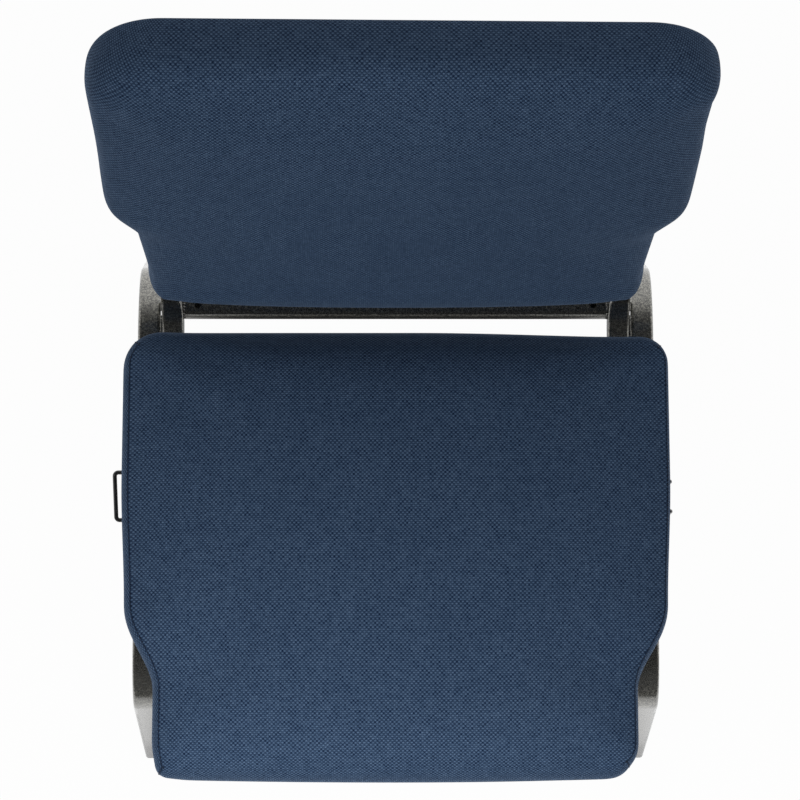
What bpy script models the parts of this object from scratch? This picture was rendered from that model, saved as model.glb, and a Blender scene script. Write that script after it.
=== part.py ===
"""Stacking church chair: square-tube frame, upholstered seat and back, sliding wire ganging links."""

import math

import bmesh
import bpy
from mathutils import Euler, Matrix, Vector

# Driving dimensions in metres and degrees. X runs across the chair, its front faces -Y, Z is up.
OVERALL_DEPTH = 0.620
RAIL_TOP_HEIGHT = 0.403

LEG_TUBE = 0.022
RAIL_TUBE = 0.021
TUBE_WALL = 0.0015
TUBE_CORNER = 0.0042
LEG_SPLAY = math.radians(3.25)
WELD_SPACER = 0.0008
FRONT_FOOT_SETBACK = 0.0485
FRONT_LEAN = math.radians(6.0)
REAR_LEAN = math.radians(17.0)
FRONT_BEND = 0.050
REAR_BEND = 0.070
RAIL_BEND = 0.040
RECLINE = math.radians(13.5)

SEAT_FRONT_WIDTH = 0.4596
SEAT_NOTCH_DEPTH = 0.0332
SEAT_DEPTH = 0.4335
SEAT_THICKNESS = 0.068
SEAT_EDGE_SHARE = 0.72
SEAT_NOTCH_START = 0.0915
SEAT_NOTCH_LENGTH = 0.082
SEAT_CORNER = 0.026
SEAT_BOARD = 0.012

BACK_SET = 0.0325
BACK_RISE = 0.074
BACK_HEIGHT = 0.420
BACK_FOOT_MARGIN = 0.0080
BACK_NOTCH_DEPTH = 0.0232
BACK_NOTCH_START = 0.084
BACK_NOTCH_LENGTH = 0.062
BACK_CORNER = 0.046
BACK_FOAM = 0.032
BACK_BOARD = 0.009
BACK_PANEL = 0.006

COVER = 0.0012
DUST_COVER = 0.0010
BOARD_INSET = 0.016
SEAT_BOARD_INSET = 0.024
GAP = 0.0003
SOFT_GAP = 0.0006

GLIDE = 0.008
GLIDE_PLUG = 0.022
BOLT = 0.006
ROD = 0.0042
LOOP_WIDTH = 0.051
LOOP_REACH = 0.0198
HOOK_WIDTH = 0.0335
HOOK_REACH = 0.0150
HOOK_DROP = 0.024
GANGING_SETBACK = 0.2775
RETAINER = 0.002
RAIL_FRONT_SETBACK = 0.110
REAR_RAIL_SET = 0.0057
SEAT_BOLT_FRONT_SET = 0.045
SEAT_BOLT_REAR_SET = 0.075
BUMPER_SET = 0.032
BUMPER_LENGTH = 0.026
BUMPER_THICKNESS = 0.005
BUMPER_PEG = 0.006
ACCESSORY_HOLE = 0.0064
ACCESSORY_HOLE_SET = 0.014
UPRIGHT_SHORT = 0.046
BACK_LOWER_RAIL_RISE = 0.045
BACK_BOLT_DROP = 0.070

# Places that follow from the dimensions above.
SEAT_FRONT_Y = -OVERALL_DEPTH / 2
SEAT_REAR_Y = SEAT_FRONT_Y + SEAT_DEPTH
RAIL_X = SEAT_FRONT_WIDTH / 2 - RAIL_TUBE / 2
RAIL_Z = RAIL_TOP_HEIGHT - RAIL_TUBE / 2
RAIL_FRONT_Y = SEAT_FRONT_Y + RAIL_FRONT_SETBACK
RAIL_CORNER_Y = SEAT_REAR_Y + BACK_SET + RAIL_TUBE * 0.25
LEG_HALF = LEG_TUBE / 2
LEG_HALF_TILTED = LEG_HALF * (math.cos(LEG_SPLAY) + math.sin(LEG_SPLAY))
LEG_X = RAIL_X + RAIL_TUBE / 2 + GAP + WELD_SPACER + GAP + LEG_HALF_TILTED
ARCH_Z = RAIL_TOP_HEIGHT - LEG_HALF_TILTED
FOOT_DROP = (ARCH_Z - GLIDE) / math.cos(LEG_SPLAY)
FRONT_FOOT_Y = SEAT_FRONT_Y + FRONT_FOOT_SETBACK
REAR_FOOT_Y = OVERALL_DEPTH / 2 - LEG_HALF / math.cos(REAR_LEAN)
FRONT_CORNER_Y = FRONT_FOOT_Y + FOOT_DROP * math.tan(FRONT_LEAN)
REAR_CORNER_Y = REAR_FOOT_Y - FOOT_DROP * math.tan(REAR_LEAN)
REAR_RAIL_Y = RAIL_CORNER_Y - REAR_RAIL_SET
FRONT_RAIL_Y = RAIL_FRONT_Y + RAIL_TUBE * 1.75
SEAT_UNDER_Z = RAIL_TOP_HEIGHT + GAP + DUST_COVER + GAP
SEAT_BOARD_Z = SEAT_UNDER_Z + COVER + SOFT_GAP
SEAT_BOLT_FRONT_Y = FRONT_RAIL_Y + SEAT_BOLT_FRONT_SET
SEAT_BOLT_REAR_Y = SEAT_REAR_Y - SEAT_BOLT_REAR_SET
GANGING_Y = SEAT_FRONT_Y + GANGING_SETBACK
LEG_OUTER_X = LEG_X + LEG_HALF_TILTED
UPRIGHT_TOP = BACK_RISE + BACK_HEIGHT - UPRIGHT_SHORT
BACK_BOLT_LOW = BACK_RISE + BACK_NOTCH_START + BACK_NOTCH_LENGTH * 0.80
BACK_BOLT_HIGH = UPRIGHT_TOP - BACK_BOLT_DROP


# The chair's parts sit in one collection, the tools that cut them in another.
for old in list(bpy.data.objects):
    bpy.data.objects.remove(old, do_unlink=True)

PARTS = bpy.data.collections.new("church_chair")
CUTTERS = bpy.data.collections.new("church_chair_cutters")
bpy.context.scene.collection.children.link(PARTS)
bpy.context.scene.collection.children.link(CUTTERS)


def new_material(name, colour, roughness, metallic):
    """A plain Principled surface."""
    material = bpy.data.materials.new(name)
    material.use_nodes = True
    shader = material.node_tree.nodes["Principled BSDF"]
    shader.inputs["Base Color"].default_value = (*colour, 1.0)
    shader.inputs["Roughness"].default_value = roughness
    shader.inputs["Metallic"].default_value = metallic
    return material


FRAME_COAT = new_material("frame_coat", (0.030, 0.031, 0.034), 0.42, 0.55)
NAVY_FABRIC = new_material("navy_fabric", (0.012, 0.022, 0.075), 0.92, 0.0)
FOAM = new_material("foam", (0.70, 0.66, 0.52), 0.95, 0.0)
PLYWOOD = new_material("plywood", (0.46, 0.33, 0.19), 0.75, 0.0)
BLACK_CLOTH = new_material("black_cloth", (0.012, 0.012, 0.013), 0.95, 0.0)
BLACK_PLASTIC = new_material("black_plastic", (0.016, 0.016, 0.017), 0.55, 0.0)
BLACK_WIRE = new_material("black_wire", (0.014, 0.014, 0.015), 0.38, 0.3)
ZINC_STEEL = new_material("zinc_steel", (0.52, 0.53, 0.54), 0.35, 1.0)


def new_empty(name, parent, location, turn):
    """A frame of reference that parts hang from."""
    empty = bpy.data.objects.new(name, None)
    empty.empty_display_size = 0.05
    empty.location = location
    empty.rotation_euler = turn
    empty.parent = parent
    PARTS.objects.link(empty)
    return empty


CHAIR = new_empty("church_chair_root", None, (0.0, 0.0, 0.0), (0.0, 0.0, 0.0))
BACK = new_empty("back_frame", CHAIR, (0.0, RAIL_CORNER_Y, RAIL_Z), (-RECLINE, 0.0, 0.0))


def new_part(name, data, material, parent=CHAIR, matrix=None):
    """One physical piece with its own material."""
    part = bpy.data.objects.new(name, data)
    PARTS.objects.link(part)
    part.data.materials.clear()
    part.data.materials.append(material)
    part.parent = parent
    if matrix is not None:
        part.matrix_local = matrix
    return part


def new_cutter(name, mesh, parent=CHAIR, matrix=None):
    """A hidden body that shapes a part."""
    cutter = bpy.data.objects.new(name, mesh)
    CUTTERS.objects.link(cutter)
    cutter.hide_render = True
    cutter.display_type = "WIRE"
    cutter.parent = parent
    if matrix is not None:
        cutter.matrix_local = matrix
    return cutter


def boolean(part, cutter, operation="DIFFERENCE"):
    """Cuts a part with a body, or joins the body to it."""
    step = part.modifiers.new(cutter.name, "BOOLEAN")
    step.operation = operation
    step.solver = "EXACT"
    step.object = cutter


def mesh_of(curve):
    """The mesh that a curve makes, with its seams closed."""
    holder = bpy.data.objects.new("holder", curve)
    CUTTERS.objects.link(holder)
    bpy.context.view_layer.update()
    graph = bpy.context.evaluated_depsgraph_get()
    mesh = bpy.data.meshes.new_from_object(holder.evaluated_get(graph))
    bpy.data.objects.remove(holder, do_unlink=True)
    shape = bmesh.new()
    shape.from_mesh(mesh)
    bmesh.ops.remove_doubles(shape, verts=shape.verts, dist=0.00002)
    bmesh.ops.recalc_face_normals(shape, faces=shape.faces)
    shape.to_mesh(mesh)
    shape.free()
    return mesh


def box_mesh(name, size):
    """A block about its own centre."""
    mesh = bpy.data.meshes.new(name)
    shape = bmesh.new()
    bmesh.ops.create_cube(shape, size=1.0, matrix=Matrix.Diagonal((*size, 1.0)))
    shape.to_mesh(mesh)
    shape.free()
    return mesh


def rod_mesh(name, radius, length, sides, turn=(0.0, 0.0, 0.0)):
    """A round bar about its own centre, along Z before it is turned."""
    mesh = bpy.data.meshes.new(name)
    shape = bmesh.new()
    bmesh.ops.create_cone(
        shape, cap_ends=True, segments=sides, radius1=radius, radius2=radius, depth=length,
        matrix=Euler(turn).to_matrix().to_4x4(),
    )
    shape.to_mesh(mesh)
    shape.free()
    return mesh


def bevel(part, width, segments=2):
    """Rounds the sharp edges of a part."""
    step = part.modifiers.new("rounding", "BEVEL")
    step.width = width
    step.segments = segments
    step.limit_method = "ANGLE"
    step.angle_limit = math.radians(40.0)


def turned(name, profile, closed, steps, material, parent, matrix):
    """A turned piece: its profile, radius and height, goes round Z."""
    mesh = bpy.data.meshes.new(name)
    shape = bmesh.new()
    points = [shape.verts.new((radius, 0.0, height)) for radius, height in profile]
    for first, second in zip(points, points[1:]):
        shape.edges.new((first, second))
    if closed:
        shape.edges.new((points[-1], points[0]))
    shape.to_mesh(mesh)
    shape.free()
    part = new_part(name, mesh, material, parent, matrix)
    screw = part.modifiers.new("turn", "SCREW")
    screw.axis = "Z"
    screw.steps = steps
    screw.render_steps = steps
    screw.use_merge_vertices = True
    screw.merge_threshold = 0.00005
    return part


def bent_path(corners, radii, steps):
    """A path in a plane whose inner corners are rounded by arcs."""
    path = [Vector(corners[0])]
    for before, corner, after, radius in zip(corners, corners[1:], corners[2:], radii):
        corner = Vector(corner)
        back = (Vector(before) - corner).normalized()
        ahead = (Vector(after) - corner).normalized()
        half = math.acos(max(-1.0, min(1.0, back.dot(ahead)))) / 2
        centre = corner + (back + ahead).normalized() * (radius / math.sin(half))
        start = corner + back * (radius / math.tan(half)) - centre
        stop = corner + ahead * (radius / math.tan(half)) - centre
        sweep = math.pi - 2 * half
        for step in range(steps + 1):
            share = step / steps
            first = math.sin((1 - share) * sweep) / math.sin(sweep)
            last = math.sin(share * sweep) / math.sin(sweep)
            path.append(centre + start * first + stop * last)
    path.append(Vector(corners[-1]))
    return path


def square_section(size, corner, steps=2):
    """Outline of a square tube with rounded corners."""
    inner = size / 2 - corner
    outline = []
    for quarter in range(4):
        middle = math.radians(45 + 90 * quarter)
        x = inner * math.copysign(1, math.cos(middle))
        y = inner * math.copysign(1, math.sin(middle))
        for step in range(steps + 1):
            angle = math.radians(90 * quarter + 90 * step / steps)
            outline.append((x + corner * math.cos(angle), y + corner * math.sin(angle)))
    return outline


def closed_curve(name, outline):
    """A flat closed line through the given points."""
    curve = bpy.data.curves.new(name, "CURVE")
    curve.dimensions = "2D"
    spline = curve.splines.new("POLY")
    spline.points.add(len(outline) - 1)
    for point, (x, y) in zip(spline.points, outline):
        point.co = (x, y, 0.0, 1.0)
    spline.use_cyclic_u = True
    return curve


def swept(name, path, outline, filled):
    """A section carried along a path that lies in its own XY plane."""
    section_curve = closed_curve(name + "_section", outline)
    section_curve.fill_mode = "NONE"
    section = bpy.data.objects.new(name + "_section", section_curve)
    CUTTERS.objects.link(section)
    curve = bpy.data.curves.new(name, "CURVE")
    curve.dimensions = "3D"
    curve.twist_mode = "Z_UP"
    curve.bevel_mode = "OBJECT"
    curve.bevel_object = section
    curve.use_fill_caps = filled
    spline = curve.splines.new("POLY")
    spline.points.add(len(path) - 1)
    for point, place in zip(spline.points, path):
        point.co = (place[0], place[1], 0.0, 1.0)
    mesh = mesh_of(curve)
    bpy.data.objects.remove(section, do_unlink=True)
    return mesh


def square_tube(name, path, size, material, parent, matrix):
    """A bent square tube with an open bore."""
    mesh = swept(name, path, square_section(size, TUBE_CORNER), False)
    part = new_part(name, mesh, material, parent, matrix)
    wall = part.modifiers.new("wall", "SOLIDIFY")
    wall.thickness = TUBE_WALL
    wall.offset = -1.0
    wall.use_even_offset = True
    return part


def extruded(name, outline, thickness):
    """A flat board about its own middle plane."""
    curve = closed_curve(name, outline)
    curve.fill_mode = "BOTH"
    curve.extrude = thickness / 2
    return mesh_of(curve)


def smooth(share):
    """An S-shaped step from 0 to 1."""
    share = max(0.0, min(1.0, share))
    return share * share * (3 - 2 * share)


def notched_outline(low, high, half_width, low_corner, high_corner):
    """Outline of a board between two heights whose half width varies, with rounded corners."""
    right = []
    for step in range(4):
        angle = math.radians(-90 + 30 * step)
        right.append((half_width(low + low_corner) - low_corner * (1 - math.cos(angle)),
                      low + low_corner * (1 + math.sin(angle))))
    for step in range(1, 10):
        height = low + low_corner + (high - high_corner - low - low_corner) * step / 10
        right.append((half_width(height), height))
    for step in range(5):
        angle = math.radians(22.5 * step)
        right.append((half_width(high - high_corner) - high_corner * (1 - math.cos(angle)),
                      high - high_corner * (1 - math.sin(angle))))
    return right + [(-x, y) for x, y in reversed(right)]


def cage(name, cells, place, keep):
    """A coarse cage: a block cut into cells, its corners then moved into place."""
    mesh = bpy.data.meshes.new(name)
    shape = bmesh.new()
    bmesh.ops.create_cube(shape, size=1.0)
    for axis in range(3):
        along = [
            edge for edge in shape.edges
            if abs(edge.verts[0].co[axis] - edge.verts[1].co[axis]) > 0.5 / cells[axis]
        ]
        bmesh.ops.subdivide_edges(shape, edges=along, cuts=cells[axis] - 1, use_grid_fill=True)
    dropped = [face for face in shape.faces if not keep(face.calc_center_median())]
    bmesh.ops.delete(shape, geom=dropped, context="FACES")
    for vertex in shape.verts:
        index = [round((vertex.co[axis] + 0.5) * cells[axis]) for axis in range(3)]
        vertex.co = place(*index)
    for face in shape.faces:
        face.smooth = True
    shape.to_mesh(mesh)
    shape.free()
    return mesh


def soften(part):
    """One round of subdivision, the same on screen and in the render."""
    step = part.modifiers.new("soften", "SUBSURF")
    step.levels = 1
    step.render_levels = 1


# Frame: two leg arches, each one tube bent twice and splayed outward, cut level at the floor.
def arch_matrix(side):
    return (
        Matrix.Translation((side * LEG_X, 0.0, ARCH_Z))
        @ Matrix.Rotation(-side * LEG_SPLAY, 4, "Y")
        @ Euler((math.pi / 2, 0.0, math.pi / 2)).to_matrix().to_4x4()
    )


FRONT_FOOT = Vector((FRONT_FOOT_Y, -FOOT_DROP))
REAR_FOOT = Vector((REAR_FOOT_Y, -FOOT_DROP))
FRONT_ALONG = Vector((-math.sin(FRONT_LEAN), -math.cos(FRONT_LEAN)))
REAR_ALONG = Vector((math.sin(REAR_LEAN), -math.cos(REAR_LEAN)))
ARCH_PATH = bent_path(
    [
        FRONT_FOOT + FRONT_ALONG * LEG_TUBE,
        (FRONT_CORNER_Y, 0.0),
        (REAR_CORNER_Y, 0.0),
        REAR_FOOT + REAR_ALONG * LEG_TUBE,
    ],
    [FRONT_BEND, REAR_BEND],
    7,
)
FLOOR_CUT = new_cutter(
    "cut_floor",
    box_mesh("cut_floor", (4 * LEG_X, 2 * OVERALL_DEPTH, 0.2)),
    matrix=Matrix.Translation((0.0, 0.0, GLIDE - 0.1)),
)
LEGS = {}
for side, word in ((-1, "left"), (1, "right")):
    LEGS[word] = square_tube("leg_arch_" + word, ARCH_PATH, LEG_TUBE, FRAME_COAT, CHAIR, arch_matrix(side))
    boolean(LEGS[word], FLOOR_CUT)


# Frame: two L-shaped side rails, seat rail and back upright in one tube, welded inside the arches.
def rail_matrix(side):
    return (
        Matrix.Translation((side * RAIL_X, 0.0, RAIL_Z))
        @ Euler((math.pi / 2, 0.0, math.pi / 2)).to_matrix().to_4x4()
    )


RAIL_PATH = bent_path(
    [
        (RAIL_FRONT_Y, 0.0),
        (RAIL_CORNER_Y, 0.0),
        (RAIL_CORNER_Y + UPRIGHT_TOP * math.sin(RECLINE), UPRIGHT_TOP * math.cos(RECLINE)),
    ],
    [RAIL_BEND],
    7,
)
RAILS = {}
for side, word in ((-1, "left"), (1, "right")):
    RAILS[word] = square_tube("side_rail_" + word, RAIL_PATH, RAIL_TUBE, FRAME_COAT, CHAIR, rail_matrix(side))


# Frame: thin plates welded between each seat rail and its arch.
for side, word in ((-1, "left"), (1, "right")):
    for end, y in (("front", FRONT_RAIL_Y + RAIL_TUBE), ("rear", SEAT_REAR_Y - RAIL_TUBE)):
        name = "weld_spacer_" + end + "_" + word
        new_part(
            name, box_mesh(name, (WELD_SPACER, RAIL_TUBE * 1.6, RAIL_TUBE * 0.55)), FRAME_COAT, CHAIR,
            Matrix.Translation((side * (RAIL_X + RAIL_TUBE / 2 + GAP + WELD_SPACER / 2), y, RAIL_Z)),
        )


# Frame: straight tubes across, butt-welded between the side rails.
CROSS_HALF = RAIL_X - RAIL_TUBE / 2 - GAP
CROSS_PATH = [(-CROSS_HALF, 0.0), (CROSS_HALF, 0.0)]
FRONT_CROSS = square_tube(
    "front_cross_rail", CROSS_PATH, RAIL_TUBE, FRAME_COAT, CHAIR,
    Matrix.Translation((0.0, FRONT_RAIL_Y, RAIL_Z)),
)
REAR_CROSS = square_tube(
    "rear_cross_rail", CROSS_PATH, RAIL_TUBE, FRAME_COAT, CHAIR,
    Matrix.Translation((0.0, REAR_RAIL_Y, RAIL_Z)),
)
square_tube(
    "back_lower_rail", CROSS_PATH, RAIL_TUBE, FRAME_COAT, BACK,
    Matrix.Translation((0.0, 0.0, BACK_RISE + BACK_LOWER_RAIL_RISE)),
)
square_tube(
    "back_top_rail", CROSS_PATH, RAIL_TUBE, FRAME_COAT, BACK,
    Matrix.Translation((0.0, 0.0, UPRIGHT_TOP - RAIL_TUBE)),
)
for side, word in ((-1, "left"), (1, "right")):
    hole = new_cutter(
        "cut_accessory_hole_" + word,
        rod_mesh("cut_accessory_hole_" + word, ACCESSORY_HOLE / 2, RAIL_TUBE, 12),
        matrix=Matrix.Translation((side * (CROSS_HALF - ACCESSORY_HOLE_SET), REAR_RAIL_Y, RAIL_TOP_HEIGHT)),
    )
    boolean(REAR_CROSS, hole)


# Foot glides: a flush cap under each leg with a plug up its bore.
PLUG = LEG_TUBE - 2 * TUBE_WALL - 2 * GAP
for side, word in ((-1, "left"), (1, "right")):
    for end, foot, along, lean in (
        ("front", FRONT_FOOT, FRONT_ALONG, FRONT_LEAN),
        ("rear", REAR_FOOT, REAR_ALONG, REAR_LEAN),
    ):
        name = "glide_" + end + "_" + word
        centre = arch_matrix(side) @ Vector((foot[0], foot[1], 0.0))
        cap = box_mesh(
            name,
            (LEG_TUBE / math.cos(LEG_SPLAY), LEG_TUBE / math.cos(lean), GLIDE - GAP),
        )
        glide = new_part(
            name, cap, BLACK_PLASTIC, CHAIR,
            Matrix.Translation((centre.x, centre.y, (GLIDE - GAP) / 2)),
        )
        bevel(glide, 0.003)
        plug = swept(
            name + "_plug",
            [foot + along * GLIDE * 0.5, foot - along * GLIDE_PLUG],
            square_section(PLUG, TUBE_CORNER - TUBE_WALL),
            True,
        )
        boolean(glide, new_cutter(name + "_plug", plug, matrix=arch_matrix(side)), "UNION")


# Plugs in the open front ends of the seat rails.
RAIL_PLUG = RAIL_TUBE - 2 * TUBE_WALL - 2 * GAP
for side, word in ((-1, "left"), (1, "right")):
    name = "rail_plug_" + word
    cap = swept(
        name,
        [(RAIL_FRONT_Y - GAP - 0.003, 0.0), (RAIL_FRONT_Y - GAP, 0.0)],
        square_section(RAIL_TUBE, TUBE_CORNER),
        True,
    )
    plug_part = new_part(name, cap, BLACK_PLASTIC, CHAIR, rail_matrix(side))
    stem = swept(
        name + "_stem",
        [(RAIL_FRONT_Y - 0.0015, 0.0), (RAIL_FRONT_Y + 0.016, 0.0)],
        square_section(RAIL_PLUG, TUBE_CORNER - TUBE_WALL),
        True,
    )
    boolean(plug_part, new_cutter(name + "_stem", stem, matrix=rail_matrix(side)), "UNION")


# Stacking bumpers: pads under the seat rails, each held by a peg in the rail.
for side, word in ((-1, "left"), (1, "right")):
    for end, y in (("front", SEAT_BOLT_FRONT_Y + BUMPER_SET), ("rear", SEAT_BOLT_REAR_Y - BUMPER_SET)):
        name = "stack_bumper_" + end + "_" + word
        under = RAIL_TOP_HEIGHT - RAIL_TUBE
        pad = new_part(
            name, box_mesh(name, (RAIL_TUBE * 0.75, BUMPER_LENGTH, BUMPER_THICKNESS)), BLACK_PLASTIC, CHAIR,
            Matrix.Translation((side * RAIL_X, y, under - GAP - BUMPER_THICKNESS / 2)),
        )
        bevel(pad, 0.0018)
        peg = new_cutter(
            name + "_peg", rod_mesh(name + "_peg", BUMPER_PEG / 2, 0.009, 10),
            matrix=Matrix.Translation((side * RAIL_X, y, under + 0.0012)),
        )
        boolean(pad, peg, "UNION")
        seat = new_cutter(
            name + "_hole", rod_mesh(name + "_hole", BUMPER_PEG / 2 + GAP, 0.006, 10),
            matrix=Matrix.Translation((side * RAIL_X, y, under)),
        )
        boolean(RAILS[word], seat)


# Ganging links: bent wires that slide through both tubes, each kept in by two push-on washers.
def wire(name, corners, bend, location):
    """A bent round rod with flat ends."""
    curve = bpy.data.curves.new(name, "CURVE")
    curve.dimensions = "3D"
    curve.bevel_depth = ROD / 2
    curve.bevel_resolution = 1
    curve.use_fill_caps = True
    path = bent_path(corners, [bend] * (len(corners) - 2), 4)
    spline = curve.splines.new("POLY")
    spline.points.add(len(path) - 1)
    for point, place in zip(spline.points, path):
        point.co = (*place, 1.0)
    return new_part(name, curve, BLACK_WIRE, CHAIR, Matrix.Translation(location))


GANGING_Z = RAIL_Z - 0.0005
RAIL_INNER_X = RAIL_X - RAIL_TUBE / 2
LOOP_HALF = (LOOP_WIDTH - ROD) / 2
HOOK_HALF = (HOOK_WIDTH - ROD) / 2
ROD_INNER_X = RAIL_INNER_X - GAP - 3.5 * RETAINER
LOOP_BAR_X = LEG_OUTER_X + LOOP_REACH - ROD / 2
HOOK_BAR_X = LEG_OUTER_X + HOOK_REACH - ROD / 2
wire(
    "ganging_loop",
    [
        (LOOP_BAR_X - ROD_INNER_X, -LOOP_HALF, 0.0),
        (0.0, -LOOP_HALF, 0.0),
        (0.0, LOOP_HALF, 0.0),
        (LOOP_BAR_X - ROD_INNER_X, LOOP_HALF, 0.0),
    ],
    ROD * 1.1,
    (-LOOP_BAR_X, GANGING_Y, GANGING_Z),
)
wire(
    "ganging_hook",
    [
        (ROD_INNER_X - HOOK_BAR_X, -HOOK_HALF, 0.0),
        (0.0, -HOOK_HALF, 0.0),
        (0.0, -HOOK_HALF, -HOOK_DROP),
        (0.0, HOOK_HALF, -HOOK_DROP),
        (0.0, HOOK_HALF, 0.0),
        (ROD_INNER_X - HOOK_BAR_X, HOOK_HALF, 0.0),
    ],
    ROD * 1.1,
    (HOOK_BAR_X, GANGING_Y, GANGING_Z),
)
for side, word, link, half in ((-1, "left", "loop", LOOP_HALF), (1, "right", "hook", HOOK_HALF)):
    for end, y in (("front", GANGING_Y - half), ("rear", GANGING_Y + half)):
        name = link + "_retainer_" + end
        bore = ROD / 2 + 0.0001
        turned(
            name,
            [(bore, 0.0), (bore, RETAINER), (ROD * 1.05, RETAINER), (ROD * 1.05, 0.0)],
            True, 14, ZINC_STEEL, CHAIR,
            Matrix.Translation((side * (RAIL_INNER_X - GAP), y, GANGING_Z))
            @ Euler((0.0, -side * math.pi / 2, 0.0)).to_matrix().to_4x4(),
        )
        hole = new_cutter(
            "cut_" + name,
            rod_mesh("cut_" + name, ROD / 2 + 0.0004, 0.1, 12, (0.0, math.pi / 2, 0.0)),
            matrix=Matrix.Translation((side * (RAIL_X + RAIL_TUBE / 2), y, GANGING_Z)),
        )
        boolean(LEGS[word], hole)
        boolean(RAILS[word], hole)


# Seat: a notched board bolted to the rails, foam round it, a fabric cover and a dust cover below.
SEAT_HALF_FRONT = SEAT_FRONT_WIDTH / 2


def seat_half_width(y):
    """Half width of the seat at a place along its depth; it steps in ahead of the legs."""
    share = (y - SEAT_FRONT_Y - SEAT_NOTCH_START) / SEAT_NOTCH_LENGTH
    return SEAT_HALF_FRONT + SEAT_NOTCH_DEPTH * smooth(share)


SEAT_COLUMNS = (-1.0, -0.90, -0.42, 0.42, 0.90, 1.0)
SEAT_ROWS = (
    SEAT_FRONT_Y,
    SEAT_FRONT_Y + 0.020,
    SEAT_FRONT_Y + SEAT_NOTCH_START + SEAT_NOTCH_LENGTH * 0.10,
    SEAT_FRONT_Y + SEAT_NOTCH_START + SEAT_NOTCH_LENGTH * 0.5,
    SEAT_FRONT_Y + SEAT_NOTCH_START + SEAT_NOTCH_LENGTH * 0.90,
    SEAT_REAR_Y - SEAT_DEPTH * 0.36,
    SEAT_REAR_Y - SEAT_CORNER,
    SEAT_REAR_Y,
)


def seat_cells():
    """Cells of the seat's cage across, along and up."""
    return len(SEAT_COLUMNS) - 1, len(SEAT_ROWS) - 1, 2


def seat_place(i, j, k):
    """Place of one corner of the seat's cage: crowned top, full sides, drawn in below."""
    y = SEAT_ROWS[j]
    half = seat_half_width(y)
    across = SEAT_COLUMNS[i]
    side = i in (0, len(SEAT_COLUMNS) - 1)
    front = j == 0
    rear = j == len(SEAT_ROWS) - 1
    height = (0.0, SEAT_THICKNESS * SEAT_EDGE_SHARE * 0.5, SEAT_THICKNESS * SEAT_EDGE_SHARE)[k]
    draw = (-0.005, 0.0025, -0.006)[k]
    if side:
        half += draw
    if k == 0 and (side or front or rear):
        height -= 0.0012
    if front:
        y -= (-0.006, 0.003, -0.010)[k]
        half -= 0.012
    if rear:
        y += (-0.004, 0.003, -0.004)[k]
        half -= SEAT_CORNER * 0.22
    if k == 2:
        if front:
            height -= SEAT_THICKNESS * 0.05
        elif j == 1:
            height += SEAT_THICKNESS * (0.0 if side else 0.20)
        elif not side and not rear:
            height = SEAT_THICKNESS * (0.99 if abs(across) > 0.6 else 1.07)
    return (across * half, y, SEAT_UNDER_Z + height)


def seat_shell(centre):
    """All faces but the middle of the underside."""
    return centre.z > -0.49 or abs(centre.x) > 0.3 or abs(centre.y) > 0.36


seat_cover = new_part("seat_cover", cage("seat_cover", seat_cells(), seat_place, seat_shell), NAVY_FABRIC)
soften(seat_cover)
skin = seat_cover.modifiers.new("skin", "SOLIDIFY")
skin.thickness = COVER
skin.offset = -1.0

seat_foam = new_part("seat_foam", cage("seat_foam", seat_cells(), seat_place, lambda centre: True), FOAM)
soften(seat_foam)
inside = seat_foam.modifiers.new("inside_cover", "DISPLACE")
inside.direction = "NORMAL"
inside.mid_level = 0.0
inside.strength = -(COVER + SOFT_GAP)


def seat_outline(inset):
    """Outline of the seat board, set in from the cover."""
    return notched_outline(
        SEAT_FRONT_Y + inset, SEAT_REAR_Y - inset, lambda y: seat_half_width(y) - inset, 0.018, SEAT_CORNER,
    )


SEAT_BOARD_PLACE = Matrix.Translation((0.0, 0.0, SEAT_BOARD_Z + SEAT_BOARD / 2))
seat_board = new_part(
    "seat_board", extruded("seat_board", seat_outline(SEAT_BOARD_INSET), SEAT_BOARD), PLYWOOD, CHAIR,
    SEAT_BOARD_PLACE,
)
seat_pocket = new_cutter(
    "cut_seat_pocket",
    extruded("cut_seat_pocket", seat_outline(SEAT_BOARD_INSET - GAP), SEAT_BOARD * 2),
    matrix=Matrix.Translation((0.0, 0.0, SEAT_BOARD_Z + GAP)),
)
boolean(seat_foam, seat_pocket)
new_part(
    "seat_dust_cover",
    extruded("seat_dust_cover", seat_outline(SEAT_BOARD_INSET - 0.002), DUST_COVER),
    BLACK_CLOTH, CHAIR,
    Matrix.Translation((0.0, 0.0, RAIL_TOP_HEIGHT + GAP + DUST_COVER / 2)),
)
seat_dust_cover = bpy.data.objects["seat_dust_cover"]


# Fasteners: a bolt with a hexagon socket, and a flanged tee nut sunk in the board.
def bolt(name, reach, head, head_height, sunk, parent, matrix):
    """A bolt along Z, its head's bearing face at 0 and its point at the reach."""
    shank = BOLT / 2
    if sunk:
        profile = [(0.0, reach), (shank, reach), (shank, head_height), (head, 0.0), (0.0, 0.0)]
    else:
        profile = [
            (0.0, reach), (shank, reach), (shank, 0.0), (head, 0.0),
            (head, -head_height * 0.5), (head * 0.72, -head_height), (0.0, -head_height),
        ]
    part = turned(name, profile, False, 10, ZINC_STEEL, parent, matrix)
    depth = head_height * 0.7
    socket = new_cutter(
        name + "_socket", rod_mesh(name + "_socket", BOLT * 0.36, depth * 2, 6), parent,
        matrix @ Matrix.Translation((0.0, 0.0, 0.0 if sunk else -head_height)),
    )
    boolean(part, socket)


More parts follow.
